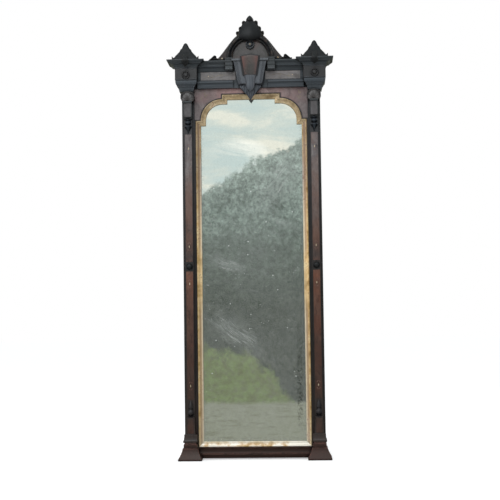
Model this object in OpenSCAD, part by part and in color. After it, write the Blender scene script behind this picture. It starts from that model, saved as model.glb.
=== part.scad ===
// Pier mirror in dark walnut, standing on the floor against a wall.
// X runs across the front, Z is up, and the front faces -Y. The origin is on the floor, under the middle.
// Distances called d are measured from the wall, which is the back of the frame.

/* [Mirror opening] */
// Width of the glass seen between the gilt liners
sight_w = 578; // [480:2:660]
// Height of the gilt liner's side, from the bottom rail to its outer shoulder
side_h = 1856; // [1700:2:2000]
// Width of the gilt liner
liner_w = 30; // [22:1:34]
// Height of the gilt liner's crown above the glass
liner_t = 18; // [14:1:20]
// Width of the dark bead round the liner
bead_w = 5; // [3:1:8]
// Width of the flat shoulder before the arch begins
shoulder_w = 29; // [29:1:40]
// Radius of the quarter arch on the liner's outer edge
head_arc_r = 124; // [100:1:140]
// Height of the upright step above the arch
head_step = 25; // [15:1:40]
// Height of the spandrel above the liner
head_margin = 33; // [20:1:60]

/* [Carcass] */
// Width of each stile
stile_w = 72; // [66:1:84]
// Depth of the stiles and rails
stile_d = 45; // [44:1:60]
// Clear height under the bottom rail
floor_gap = 7; // [0:1:20]
// Height of the bottom rail
rail_h = 60; // [45:1:80]
// Thickness of the moulding on the bottom rail
rail_moulding_t = 15; // [8:1:20]
// Depth of the rabbet's step for the backboards, across the frame
rabbet_w = 14; // [8:1:20]

/* [Glass and back] */
// Thickness of the battens across the back
batten_t = 12; // [8:1:14]
// Height of each batten
batten_h = 60; // [40:1:80]
// Thickness of the backboards
backboard_t = 12; // [8:1:12]
// Thickness of the plate glass
glass_t = 6; // [4:1:6]
// Gap between the glass edge and the stile, filled by the glazing blocks
glazing_gap = 8; // [6:1:12]
// Gap under the glass, filled by the setting blocks
setting_gap = 5; // [3:1:10]
// Length of a glazing block
glazing_block_l = 60; // [30:1:90]
// Thickness of the spandrel panel
spandrel_t = 14; // [10:1:14]

/* [Plinths and pedestals] */
// Height of the flared part of the plinth
plinth_flare_h = 66; // [50:1:80]
// Height of the plain part above the flare
plinth_top_h = 23; // [16:1:30]
// Height of the groove at the top of the plinth
plinth_neck_h = 8; // [5:1:12]
// Depth of the plinth's core
plinth_d = 100; // [90:1:110]
// Projection of the flare at the floor
plinth_out = 30; // [20:1:36]
// Height of the pedestal's moulded base
pedestal_base_h = 45; // [30:1:60]
// Height of the pedestal above its base
pedestal_h = 94; // [80:1:120]
// Width of the pedestal at its foot
pedestal_w = 52; // [46:1:56]
// Narrowing of the pedestal on each side towards its top
pedestal_taper = 5; // [0:1:8]
// Depth of the pedestal
pedestal_d = 86; // [76:1:92]

/* [Pilasters] */
// Width of the raised pilaster
pilaster_w = 48; // [44:1:56]
// Thickness of the pilaster
pilaster_t = 15; // [10:1:18]
// Width of the burl panels on the shaft
shaft_panel_w = 39; // [30:1:40]
// Thickness of the burl panels
burl_t = 3; // [2:0.5:4]
// Depth of the seat that a burl panel is let into
burl_seat = 2; // [1:0.5:2.5]
// Height of the split turning above the pedestal
turning_h = 95; // [80:1:110]
// Radius of the bulb of the split turning
bulb_r = 18; // [12:0.5:20]
// Height of the boss at mid height
boss_z = 1085; // [1000:1:1200]
// Height of the dark pad round the boss
boss_pad_h = 55; // [44:1:70]
// Radius of the boss
boss_r = 19; // [10:0.5:20]
// Thickness of the boss
boss_t = 13; // [8:0.5:18]
// Height of the drop under the console
drop_h = 83; // [70:1:100]
// Largest radius of the drop
drop_r = 21; // [14:0.5:22]
// Height of the console
console_h = 100; // [80:1:120]
// Width of the console
console_w = 48; // [40:1:52]
// Depth of the console at its top
console_d = 95; // [84:1:100]
// Height of the capital
capital_h = 57; // [45:1:70]
// Width of the capital at its widest
capital_w = 80; // [70:1:90]
// Depth of the capital
capital_d = 98; // [90:1:100]
// Height of the neck mouldings under the corner block
neck_h = 63; // [50:1:80]

/* [Corner blocks] */
// How far the corner block stands in over the stile's inner face
block_in = 20; // [10:1:24]
// How far the corner block stands out past the stile
block_out = 33; // [24:1:44]
// Height of the corner block
block_h = 69; // [60:1:90]
// Depth of the corner block
block_d = 105; // [104:1:120]
// Radius of the roundel on the block
roundel_r = 23; // [16:1:26]
// Thickness of the roundel
roundel_t = 8; // [5:1:10]
// Height of the cap
cap_h = 41; // [34:1:54]
// Projection of the cap
cap_out = 43; // [34:1:50]
// Height of the finial
finial_h = 103; // [80:1:130]
// Width of the finial over its ears
finial_w = 164; // [140:2:180]
// Depth of the finial
finial_d = 84; // [70:2:120]

/* [Frieze and cornice] */
// Height of the architrave moulding
architrave_h = 44; // [36:1:54]
// Projection of the architrave moulding
architrave_out = 18; // [12:1:22]
// Thickness of the frieze board
frieze_t = 17; // [12:1:20]
// Height of the frieze between its mouldings
frieze_h = 53; // [44:1:64]
// Height of the cornice moulding
cornice_h = 55; // [48:1:60]
// Projection of the cornice moulding
cornice_out = 42; // [34:1:42]
// Distance from the centre line to each cornice block beside the keystone
cornice_block_x = 99; // [99:1:110]
// Width of each cornice block
cornice_block_w = 42; // [40:1:54]
// Height that the cornice block stands above the cornice
cornice_block_rise = 15; // [8:1:24]
// Length of the carved scroll on the cornice
scroll_l = 103; // [80:1:108]
// Height of the carved scroll
scroll_h = 34; // [20:1:44]

/* [Crest] */
// Thickness of the crest board
crest_t = 30; // [20:1:30]
// Distance of the crest board from the wall
crest_d = 15; // [10:1:15]
// Half the width of the crest board at its foot
crest_foot = 222; // [206:1:232]
// Half the width of the crest board at its top
crest_head = 55; // [45:1:70]
// Height of the crest board
crest_board_h = 168; // [165:1:180]
// Height of the arch centre above the top rail
arch_rise = 27; // [18:1:30]
// Outer radius of the arch moulding
arch_r = 137; // [126:1:138]
// Width of the arch moulding
arch_w = 36; // [26:1:40]
// Thickness of the arch moulding
arch_t = 27; // [18:1:30]
// Thickness of the tympanum panel
tympanum_t = 4; // [3:0.5:8]
// Radius of the roundel in the arch
crest_roundel_r = 26; // [20:1:27]
// Thickness of the roundel in the arch
crest_roundel_t = 16; // [10:1:20]
// Height of the roundel above the arch centre
crest_roundel_rise = 73; // [50:1:74]
// Height of the leaf cap above the crest board
leaf_h = 104; // [80:1:130]
// Width of the leaf cap over its lowest lobes
leaf_w = 160; // [130:2:180]
// Depth of the leaf cap's front
leaf_d = 88; // [84:1:96]

/* [Keystone] */
// Half the width of the keystone at its top
keystone_top = 97; // [86:1:97]
// Half the width of the keystone at its foot
keystone_foot = 68; // [54:1:76]
// Depth of the keystone
keystone_d = 106; // [100:1:124]
// Height that the keystone stands above the cornice
keystone_rise = 7; // [2:1:12]
// Height of the keystone above the bottom of the architrave
keystone_base = 15; // [8:1:24]
// Thickness of the moulded shield on the keystone
shield_t = 10; // [6:1:14]
// Half the width of the shield at its top
shield_top = 56; // [40:1:58]
// Half the width of the shield at its foot
shield_foot = 34; // [20:1:38]
// Height of the shield's foot above the keystone's foot
shield_base = 50; // [40:1:60]
// Height that the shield stands above the keystone
shield_rise = 19; // [10:1:26]
// Length of the pendant below the keystone
pendant_l = 91; // [70:1:100]
// Half the width of the pendant where it meets the keystone
pendant_half = 64; // [44:1:68]
// Thickness of the pendant
pendant_t = 34; // [24:1:40]

/* [Fixings] */
// Radius of a screw's shank
screw_r = 2; // [1.5:0.25:2.5]
// Radius of a screw's head
screw_head_r = 4.5; // [4:0.25:5.5]
// Length of a screw
screw_l = 28; // [22:1:32]
// Distance between the two wall fixing holes
wall_hole_spacing = 450; // [430:2:470]
// Radius of a wall fixing hole
wall_hole_r = 4; // [2.5:0.25:6]
// Thickness of a wall plate
plate_t = 3; // [2:0.5:5]
// Width of a wall plate
plate_w = 30; // [24:1:40]
// Height that a wall plate stands above the cornice
plate_rise = 33; // [24:1:44]
// Length of a wall plate below the top of the rail
plate_drop = 42; // [38:1:60]

/* [Hidden] */
// Clearance round a screw and beside a piece that is set against another's curve
clearance = 0.1;
// Number of straight steps that a curved moulding is drawn with
curve_steps = 6;
$fn = 48;

// Small sizes that follow the craft
bead_rise = 2;
glass_head = 10;
groove_in = 5;
plinth_side_out = 3;
pedestal_side_out = 6;
pedestal_base_out = 4;
pedestal_panel_w = 34;
pedestal_panel_h = 82;
console_foot_out = 12;
console_face_in = 7;
console_panel_w = 38;
console_panel_h = 80;
panel_gap = 4;
drop_overlap = 4;
frieze_panel_margin = 19;
frieze_panel_edge = 3;
keystone_gap = 17;
shield_edge = 8;
tongue_r = 22;
tongue_t = 8;
leaf_droop = 42;
finial_front_in = 6;
roundel_drop = 6;
neck_out = 21;
neck_front_set = 4;
neck_side_set = 1.5;
cornice_block_back = 4;
cornice_lap = 6;
ear_half = 8;
ear_proud = 6;
ear_clear = 1;
ear_h = 12;
batten_reach = 56;
batten_count = 4;
batten_first = 300;
batten_top_gap = 155;
side_block_count = 3;
side_block_first = 400;
side_block_top_gap = 123;
setting_block_x = 200;
plank_count = 3;
cleat_x = 60;
cleat_w = 44;
cleat_t = 12;
cleat_top_gap = 30;
cleat_drop = 68;
scroll_t = 30;
scroll_d = 60;
head_l = 4;

// Places across the front
sight_x = sight_w / 2;
liner_x = sight_x + liner_w;
stile_in = liner_x + bead_w;
stile_out = stile_in + stile_w;
pilaster_x = (stile_in + stile_out) / 2;
block_x0 = stile_in - block_in;
block_x1 = stile_out + block_out;
block_x = (block_x0 + block_x1) / 2;
neck_foot_half = (block_x1 - block_x0) / 2 - neck_out - neck_side_set;
arc_x = liner_x - shoulder_w - head_arc_r;

// Heights from the floor
rail_top = floor_gap + rail_h;
shoulder_z = rail_top + side_h;
liner_top = shoulder_z + head_arc_r + head_step;
top_rail_z = liner_top + head_margin;
block_z = top_rail_z + architrave_h;
frieze_top = block_z + frieze_h;
cornice_top = frieze_top + cornice_h;
block_top = block_z + block_h;
cap_top = block_top + cap_h;
capital_top = block_z - neck_h;
capital_z = capital_top - capital_h;
console_z = capital_z - console_h;
drop_z = console_z - drop_h;
plinth_core_h = plinth_flare_h + plinth_top_h;
plinth_h = plinth_core_h + plinth_neck_h;
pedestal_z = plinth_h + pedestal_base_h;
pedestal_top = pedestal_z + pedestal_h;
turning_top = pedestal_top + turning_h;
arch_z = cornice_top + arch_rise;
crest_top = cornice_top + crest_board_h;
keystone_z = top_rail_z + keystone_base;
keystone_top_z = cornice_top + keystone_rise;
glass_z = rail_top + setting_gap;

// Distances from the wall
backboard_d = batten_t;
glass_d = backboard_d + backboard_t;
liner_d = glass_d + glass_t;
pilaster_front = stile_d + pilaster_t;
frieze_front = stile_d + frieze_t;
cornice_front = frieze_front + cornice_out;
crest_front = crest_d + crest_t;
arch_front = crest_front + arch_t;
rail_front = stile_d + rail_moulding_t;
cap_front = block_d + cap_out;
pedestal_base_d = pedestal_d + pedestal_base_out;
console_foot_d = pilaster_front + console_foot_out;
console_face = console_d - console_face_in;
neck_front = block_d - neck_out - neck_front_set;
wall_y = cap_front / 2;

WALNUT = [0.15, 0.13, 0.13];
WALNUT_FOOT = [0.20, 0.13, 0.12];
BURL = [0.30, 0.20, 0.18];
GILT = [0.80, 0.66, 0.42];
GLASS = [0.62, 0.68, 0.66];
PINE = [0.62, 0.47, 0.30];
IRON = [0.25, 0.25, 0.27];

// Curves of mouldings, as points of [height, projection]
function cove(z0, p0, z1, p1) = [for (i = [0:curve_steps])
    let (a = 90 * i / curve_steps) [z0 + (z1 - z0) * sin(a), p0 + (p1 - p0) * (1 - cos(a))]];

function ovolo(z0, p0, z1, p1) = [for (i = [0:curve_steps])
    let (a = 90 * i / curve_steps) [z0 + (z1 - z0) * (1 - cos(a)), p0 + (p1 - p0) * sin(a)]];

function ogee(z0, p0, z1, p1) = [for (i = [0:curve_steps])
    let (t = i / curve_steps) [z0 + (z1 - z0) * t, p0 + (p1 - p0) * (1 - cos(180 * t)) / 2]];

// Places spread evenly from a first to a last one
function spread(first, last, count) = [for (i = [0:count - 1]) first + i * (last - first) / (count - 1)];

function batten_places() = spread(batten_first, top_rail_z - batten_top_gap, batten_count);

function side_block_places() = spread(side_block_first, shoulder_z - side_block_top_gap, side_block_count);

// A list of points read from its end to its start
function reversed(points) = [for (i = [len(points) - 1:-1:0]) points[i]];

// The same outline on the other side of the centre line, in the opposite order
function mirrored(points) = [for (p = reversed(points)) [-p[0], p[1]]];

// Section of the gilt liner, as points of [distance from the sight edge, height above the glass]
function liner_section() = [
    [0, 0], [0, 0.3 * liner_t], [0.1 * liner_w, 0.4 * liner_t], [0.26 * liner_w, 0.42 * liner_t],
    [0.45 * liner_w, 0.52 * liner_t], [0.64 * liner_w, 0.72 * liner_t], [0.72 * liner_w, 0.92 * liner_t],
    [0.85 * liner_w, liner_t], [0.96 * liner_w, 0.9 * liner_t], [liner_w, 0.7 * liner_t], [liner_w, 0]];

// Box between two places across, two distances from the wall and two heights
module slab(x0, x1, d0, d1, z0, z1) {
    translate([x0, wall_y - d1, z0])
        cube([x1 - x0, d1 - d0, z1 - z0]);
}

// Outline seen from the front, drawn as [across, height], from one distance to another
module board(d0, d1) {
    translate([0, wall_y - d0, 0])
        rotate([90, 0, 0])
            linear_extrude(height = d1 - d0)
                children();
}

// Section seen from the side, drawn as [distance from the wall, height], from one place across to another
module run(x0, x1) {
    translate([x0, wall_y, 0])
        rotate([90, 0, 90])
            mirror([1, 0, 0])
                linear_extrude(height = x1 - x0)
                    children();
}

// Section seen from above, drawn as [across, distance from the wall], from one height to another
module upright(z0, z1) {
    translate([0, wall_y, z0])
        mirror([0, 1, 0])
            linear_extrude(height = z1 - z0)
                children();
}

// Round piece whose axis points out from the wall, drawn as [radius, distance from its seat]
module turned_out(x, z, seat) {
    translate([x, wall_y - seat, z])
        rotate([90, 0, 0])
            rotate_extrude()
                children();
}

// Pieces are drawn for the right side and mirrored for the left one
module sided(side) {
    if (side < 0) mirror([1, 0, 0]) children();
    else children();
}

// Block whose front and sides carry one moulding, mitred at the corners
module moulded_block(x0, x1, front, z0, points) {
    reach = max([for (p = points) p[1]]) + 1;
    last = len(points) - 1;
    intersection() {
        board(0, front + reach)
            polygon(concat([for (p = points) [x1 + p[1], z0 + p[0]]],
                [for (p = reversed(points)) [x0 - p[1], z0 + p[0]]]));
        run(x0 - reach, x1 + reach)
            polygon(concat([for (p = points) [front + p[1], z0 + p[0]]],
                [[0, z0 + points[last][0]], [0, z0]]));
    }
}

// Countersunk screw driven forwards from a face at distance d; grow makes the hole for it
module screw(x, z, d, grow = 0) {
    translate([x, wall_y - d, z])
        rotate([90, 0, 0]) {
            cylinder(r = screw_r + grow, h = screw_l + grow);
            cylinder(r1 = screw_head_r + grow, r2 = screw_r + grow, h = head_l);
        }
}

function batten_screw_x() = stile_in + batten_reach / 2;

function plate_screw_z() = [cornice_top - 3 * plate_drop / 4, cornice_top - plate_drop / 3];

function cleat_screw_z() = [cornice_top - 2 * cleat_drop / 3, crest_top - 2 * cleat_top_gap];

// All screws of the back, or the holes for them
module screws(grow = 0) {
    for (side = [-1, 1]) {
        for (z = batten_places()) screw(side * batten_screw_x(), z + batten_h / 2, 0, grow);
        for (z = plate_screw_z()) screw(side * wall_hole_spacing / 2, z, 0, grow);
        for (z = cleat_screw_z()) screw(side * cleat_x, z, crest_d - cleat_t, grow);
    }
}

module stile(side) {
    color(WALNUT) difference() {
        sided(side) slab(stile_in, stile_out, 0, stile_d, plinth_h, block_z);
        sided(side) slab(stile_in - 1, stile_in + rabbet_w, -1, glass_d, plinth_h - 1, top_rail_z + rabbet_w);
        for (z = batten_places())
            sided(side) slab(stile_in - 1, stile_in + batten_reach, -1, batten_t, z, z + batten_h);
        screws(clearance);
    }
}

module left_stile() { stile(-1); }
module right_stile() { stile(1); }

module top_rail() {
    color(WALNUT) difference() {
        union() {
            slab(-stile_in, stile_in, 0, stile_d, top_rail_z, block_z);
            slab(-block_x0, block_x0, 0, stile_d, block_z, cornice_top);
        }
        slab(-stile_in - 1, stile_in + 1, -1, glass_d, top_rail_z - 1, top_rail_z + rabbet_w);
        for (side = [-1, 1]) {
            slab(side * cleat_x - cleat_w / 2, side * cleat_x + cleat_w / 2, -1, crest_d,
                cornice_top - cleat_drop, cornice_top + 1);
            slab((side * wall_hole_spacing - plate_w) / 2, (side * wall_hole_spacing + plate_w) / 2,
                -1, plate_t, cornice_top - plate_drop, cornice_top + 1);
        }
        screws(clearance);
    }
}

module bottom_rail() {
    color(WALNUT_FOOT) difference() {
        slab(-stile_in, stile_in, 0, stile_d, floor_gap, rail_top);
        slab(-stile_in - 1, stile_in + 1, -1, glass_d, rail_top - rabbet_w, rail_top + 1);
    }
}

// Moulding of a cove, a fillet and a rounded foot on the bottom rail
module bottom_moulding() {
    t = rail_moulding_t;
    color(WALNUT_FOOT) run(-stile_in, stile_in) polygon(concat(
        [[stile_d, floor_gap], [rail_front - 0.2 * t, floor_gap]],
        [for (p = ovolo(0, -0.2 * t, 0.18 * rail_h, 0)) [rail_front + p[1], floor_gap + p[0]]],
        [[rail_front, floor_gap + 0.36 * rail_h], [rail_front - 0.3 * t, floor_gap + 0.4 * rail_h]],
        [for (p = reversed(cove(0.86 * rail_h, -0.75 * t, 0.46 * rail_h, -0.3 * t)))
            [rail_front + p[1], floor_gap + p[0]]],
        [[rail_front - 0.6 * t, floor_gap + 0.9 * rail_h], [rail_front - 0.6 * t, rail_top],
         [stile_d, rail_top]]));
}

// Upright planks side by side, in the rabbets of stiles and rails
module backboards() {
    half = stile_in + rabbet_w;
    plank = 2 * half / plank_count;
    color(PINE) for (i = [0:plank_count - 1])
        slab(-half + i * plank + clearance, -half + (i + 1) * plank - clearance, backboard_d, glass_d,
            rail_top - rabbet_w, top_rail_z + rabbet_w);
}

module back_battens() {
    half = stile_in + batten_reach;
    color(PINE) difference() {
        for (z = batten_places()) slab(-half, half, 0, batten_t, z, z + batten_h);
        screws(clearance);
    }
}

module back_screws() {
    color(IRON) screws();
}

// Upright cleats that tie the crest board to the top rail
module crest_cleats() {
    color(PINE) difference() {
        for (side = [-1, 1])
            slab(side * cleat_x - cleat_w / 2, side * cleat_x + cleat_w / 2, crest_d - cleat_t, crest_d,
                cornice_top - cleat_drop, crest_top - cleat_top_gap);
        screws(clearance);
    }
}

// Flat plates let into the back of the top rail, with a hole each for the wall screw
module wall_plates() {
    color(IRON) difference() {
        for (side = [-1, 1])
            slab((side * wall_hole_spacing - plate_w) / 2, (side * wall_hole_spacing + plate_w) / 2,
                0, plate_t, cornice_top - plate_drop, cornice_top + plate_rise);
        for (side = [-1, 1])
            translate([side * wall_hole_spacing / 2, wall_y + 1, cornice_top + plate_rise / 2])
                rotate([90, 0, 0])
                    cylinder(r = wall_hole_r, h = plate_t + 2);
        screws(clearance);
    }
}

module mirror_glass() {
    half = stile_in - glazing_gap;
    color(GLASS) slab(-half, half, glass_d, liner_d, glass_z, liner_top + glass_head);
}

module glazing_blocks() {
    color(PINE) for (side = [-1, 1]) {
        for (z = side_block_places())
            sided(side) slab(stile_in - glazing_gap, stile_in, glass_d, liner_d, z, z + glazing_block_l);
        sided(side) slab(setting_block_x - glazing_block_l / 2, setting_block_x + glazing_block_l / 2,
            glass_d, liner_d, rail_top, glass_z);
    }
}

// Outline of the shouldered opening, grown outwards from the liner's outer edge
module opening(grow) {
    shoulder_x = liner_x - shoulder_w;
    for (side = [-1, 1])
        translate([side * arc_x, shoulder_z]) circle(r = head_arc_r + grow);
    translate([-liner_x - grow, rail_top]) square([2 * (liner_x + grow), side_h + grow]);
    translate([-shoulder_x - grow, rail_top]) square([2 * (shoulder_x + grow), side_h + grow]);
    translate([-arc_x, rail_top]) square([2 * arc_x, side_h + head_arc_r + grow]);
    translate([-arc_x - grow, shoulder_z]) square([2 * (arc_x + grow), liner_top - shoulder_z + grow]);
}

// Liner running up from z0 to z1, its sight edge at x; drawn from the glass forwards
module liner_up(x, z0, z1) {
    translate([0, 0, z0])
        linear_extrude(height = z1 - z0)
            polygon([for (p = liner_section()) [x + p[0], -p[1]]]);
}

// Liner running across from x0 to x1, its sight edge at z; way is 1 over the glass and -1 under it
module liner_across(x0, x1, z, way) {
    translate([x0, 0, 0])
        rotate([90, 0, 90])
            linear_extrude(height = x1 - x0)
                polygon([for (p = liner_section()) [-p[1], z + way * p[0]]]);
}

// Window that mitres a length of liner, by its corners
module mitre(points) {
    translate([0, 1, 0])
        rotate([90, 0, 0])
            linear_extrude(height = liner_t + 2)
                polygon(points);
}

// Puts a liner drawn from the glass forwards, with its own zero at x and z, into its place
module on_glass(x, z) {
    translate([x, wall_y - liner_d, z]) children();
}

module liner_side(side) {
    color(GILT) sided(side) on_glass(0, 0) intersection() {
        liner_up(sight_x, rail_top, shoulder_z);
        mitre([[liner_x, rail_top], [liner_x, shoulder_z], [sight_x, shoulder_z - liner_w],
            [sight_x, rail_top + liner_w]]);
    }
}

module liner_left() { liner_side(-1); }
module liner_right() { liner_side(1); }

module liner_bottom() {
    color(GILT) on_glass(0, 0) intersection() {
        liner_across(-liner_x, liner_x, rail_top + liner_w, -1);
        mitre([[-liner_x, rail_top], [liner_x, rail_top], [sight_x, rail_top + liner_w],
            [-sight_x, rail_top + liner_w]]);
    }
}

// One side of the head, drawn from the arch's centre: shoulder, arch with its short ends, and step
module liner_head_half() {
    r = head_arc_r;
    w = liner_w;
    gap = clearance;
    intersection() {
        liner_across(r - w, r + shoulder_w, -w, 1);
        mitre([[r + shoulder_w, 0], [r + gap, 0], [r - w + gap, -w], [r + shoulder_w - w, -w]]);
    }
    union() {
        intersection() {
            liner_up(r - w, -w, 0);
            mitre([[r, 0], [r - w, 0], [r - w, -w]]);
        }
        rotate([90, 0, 0])
            rotate_extrude(angle = 90)
                polygon([for (p = liner_section()) [r - w + p[0], p[1]]]);
        intersection() {
            liner_across(-w, 0, r - w, 1);
            mitre([[0, r], [0, r - w], [-w, r - w]]);
        }
    }
    intersection() {
        liner_up(-w, r - w, r + head_step);
        mitre([[0, r + gap], [0, r + head_step], [-w, r - w + head_step], [-w, r - w + gap]]);
    }
}

// Head of the liner, in mitred lengths with a fine glue line between them
module liner_head() {
    crown = liner_top - shoulder_z;
    half = arc_x - clearance;
    color(GILT) {
        for (side = [-1, 1]) sided(side) on_glass(arc_x, shoulder_z) liner_head_half();
        on_glass(0, shoulder_z) intersection() {
            liner_across(-half, half, crown - liner_w, 1);
            mitre([[half, crown], [-half, crown], [liner_w - half, crown - liner_w],
                [half - liner_w, crown - liner_w]]);
        }
    }
}

module outer_bead() {
    color(WALNUT) board(liner_d, stile_d + bead_rise) difference() {
        opening(bead_w);
        opening(0);
    }
}

module spandrel_panel() {
    color(BURL) board(liner_d, liner_d + spandrel_t) difference() {
        translate([-stile_in, shoulder_z + bead_w])
            square([2 * stile_in, top_rail_z - shoulder_z - bead_w]);
        opening(bead_w);
    }
}

// Foot with a shallow flare on its front and sides; the inner flare stops in front of the bottom rail
module plinth(side) {
    out = plinth_out;
    h = plinth_flare_h;
    points = [[0, 0.94 * out], [0.1 * h, out], [0.2 * h, 0.9 * out], [0.36 * h, 0.7 * out],
        [0.54 * h, 0.5 * out], [0.74 * h, 0.32 * out], [0.9 * h, 0.22 * out], [h, 0.2 * out], [h, 0],
        [plinth_core_h, 0], [plinth_core_h, -groove_in], [plinth_h, -groove_in]];
    color(WALNUT_FOOT) sided(side) difference() {
        union() {
            moulded_block(stile_in, stile_out + plinth_side_out, plinth_d, 0, points);
            slab(stile_in, stile_out, 0, stile_d, plinth_core_h, plinth_h);
        }
        slab(stile_in - plinth_out - 1, stile_in, -1, rail_front, -1, plinth_core_h);
    }
}

module left_plinth() { plinth(-1); }
module right_plinth() { plinth(1); }

// Tapered block on a flared base that returns round the outer side of the stile
module pedestal(side) {
    out = pedestal_side_out;
    base = pedestal_base_h;
    points = concat([[0, 0.67 * out], [0.11 * base, out], [0.22 * base, out]],
        reversed(cove(base, 0, 0.27 * base, 0.89 * out)));
    half = pedestal_w / 2;
    top_half = half - pedestal_taper;
    color(WALNUT) sided(side) difference() {
        union() {
            difference() {
                moulded_block(stile_in, stile_out, pedestal_base_d, plinth_h, points);
                slab(stile_in - out - 1, stile_in, -1, pedestal_base_d + out + 1, plinth_h - 1,
                    pedestal_z + 1);
                slab(stile_in - 1, stile_out, -1, stile_d, plinth_h - 1, pedestal_z + 1);
            }
            board(stile_d, pedestal_d) polygon([[pilaster_x - half, pedestal_z],
                [pilaster_x + half, pedestal_z], [pilaster_x + top_half, pedestal_top],
                [pilaster_x - top_half, pedestal_top]]);
        }
        pedestal_panel_box(pedestal_d - burl_seat, pedestal_d + 1);
    }
}

module pedestal_panel_box(d0, d1) {
    z0 = pedestal_z + (pedestal_h - pedestal_panel_h) / 2;
    slab(pilaster_x - pedestal_panel_w / 2, pilaster_x + pedestal_panel_w / 2, d0, d1, z0,
        z0 + pedestal_panel_h);
}

module left_pedestal() { pedestal(-1); }
module right_pedestal() { pedestal(1); }

module pedestal_panels() {
    color(BURL) for (side = [-1, 1])
        sided(side) pedestal_panel_box(pedestal_d - burl_seat, pedestal_d - burl_seat + burl_t);
}

// The two burl panels of a shaft, or the seats for them
module shaft_panel_boxes(d1) {
    x0 = pilaster_x - shaft_panel_w / 2;
    x1 = pilaster_x + shaft_panel_w / 2;
    d0 = pilaster_front - burl_seat;
    slab(x0, x1, d0, d1, turning_top + panel_gap, boss_z - boss_pad_h / 2);
    slab(x0, x1, d0, d1, boss_z + boss_pad_h / 2, drop_z - panel_gap);
}

module pilaster(side) {
    x0 = pilaster_x - pilaster_w / 2;
    x1 = pilaster_x + pilaster_w / 2;
    color(WALNUT) sided(side) difference() {
        slab(x0, x1, stile_d, pilaster_front, pedestal_top, capital_z);
        shaft_panel_boxes(pilaster_front + 1);
    }
}

module left_pilaster() { pilaster(-1); }
module right_pilaster() { pilaster(1); }

module shaft_panels(side) {
    color(BURL) sided(side) shaft_panel_boxes(pilaster_front - burl_seat + burl_t);
}

module left_shaft_panels() { shaft_panels(-1); }
module right_shaft_panels() { shaft_panels(1); }

// Front half of an upright turning, flat against the pilaster, drawn as [radius, height]
module split_turning(z, points) {
    difference() {
        translate([pilaster_x, wall_y - pilaster_front, z])
            rotate_extrude()
                polygon(points);
        slab(pilaster_x - stile_w, pilaster_x + stile_w, pilaster_front - stile_w, pilaster_front, z - 1,
            z + turning_h + drop_h);
    }
}

// Round bulb, a collar and a teardrop standing on the pedestal
module turning(side) {
    r = bulb_r;
    h = turning_h;
    color(WALNUT) sided(side) split_turning(pedestal_top, concat(
        [[0, 0], [0.8 * r, 0], [0.8 * r, 0.04 * h]],
        [for (a = [-66:22:66]) [r * cos(a), 0.25 * h + 0.21 * h * sin(a)]],
        [[0.56 * r, 0.475 * h], [0.56 * r, 0.5 * h], [0.78 * r, 0.54 * h], [0.74 * r, 0.64 * h],
         [0.5 * r, 0.82 * h], [0.28 * r, 0.93 * h], [0, h]]));
}

module left_turning() { turning(-1); }
module right_turning() { turning(1); }

// Dished boss on the dark pad at mid height
module boss(side) {
    r = boss_r;
    t = boss_t;
    color(WALNUT) sided(side) turned_out(pilaster_x, boss_z, pilaster_front) polygon([
        [0, 0], [r, 0], [r, 0.3 * t], [0.82 * r, 0.54 * t], [0.6 * r, 0.42 * t], [0.5 * r, 0.7 * t],
        [0.3 * r, 0.92 * t], [0, t]]);
}

module left_boss() { boss(-1); }
module right_boss() { boss(1); }

// Vase, a cup turned down and a long point, hanging under the console
module drop(side) {
    r = drop_r;
    h = drop_h;
    color(WALNUT) sided(side) split_turning(drop_z, concat(
        [[0, 0], [0.12 * r, 0.03 * h], [0.3 * r, 0.2 * h], [0.62 * r, 0.36 * h], [0.98 * r, 0.47 * h],
         [r, 0.52 * h], [0.75 * r, 0.56 * h], [0.42 * r, 0.6 * h]],
        [for (a = [-50:20:50]) [0.88 * r * cos(a), 0.76 * h + 0.19 * h * sin(a)]],
        [[0.5 * r, 0.93 * h], [0.86 * r, 0.96 * h], [0.86 * r, h], [0, h]]));
}

module left_drop() { drop(-1); }
module right_drop() { drop(1); }

module console_panel_box(d0, d1) {
    z0 = console_z + (console_h - console_panel_h) / 2;
    slab(pilaster_x - console_panel_w / 2, pilaster_x + console_panel_w / 2, d0, d1, z0,
        z0 + console_panel_h);
}

// Bracket whose foot sweeps out to an upright face
module console(side) {
    face = console_face;
    color(WALNUT) sided(side) difference() {
        run(pilaster_x - console_w / 2, pilaster_x + console_w / 2) polygon(concat(
            [[pilaster_front, console_z + console_h], [pilaster_front, console_z],
             [console_foot_d, console_z]],
            [for (p = ogee(0, console_foot_d, 0.15 * console_h, face)) [p[1], console_z + p[0]]],
            [[face, console_z + 0.86 * console_h], [console_d, console_z + 0.92 * console_h],
             [console_d, console_z + console_h]]));
        console_panel_box(face - burl_seat, face + 1);
    }
}

module left_console() { console(-1); }
module right_console() { console(1); }

module console_panels() {
    seat = console_face - burl_seat;
    color(BURL) for (side = [-1, 1]) sided(side) console_panel_box(seat, seat + burl_t);
}

// Capital with an arched top and ears at its widest
module capital(side) {
    half = capital_w / 2;
    h = capital_h;
    ear_z = capital_z + 0.62 * h;
    color(WALNUT) sided(side) board(stile_d, capital_d) polygon(concat(
        [[pilaster_x - 0.8 * half, capital_z], [pilaster_x + 0.8 * half, capital_z],
         [pilaster_x + half, capital_z + 0.5 * h], [pilaster_x + half, ear_z]],
        [for (a = [15:15:165]) [pilaster_x + 0.92 * half * cos(a), ear_z + 0.38 * h * sin(a)]],
        [[pilaster_x - half, ear_z], [pilaster_x - half, capital_z + 0.5 * h]]));
}

module left_capital() { capital(-1); }
module right_capital() { capital(1); }

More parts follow.
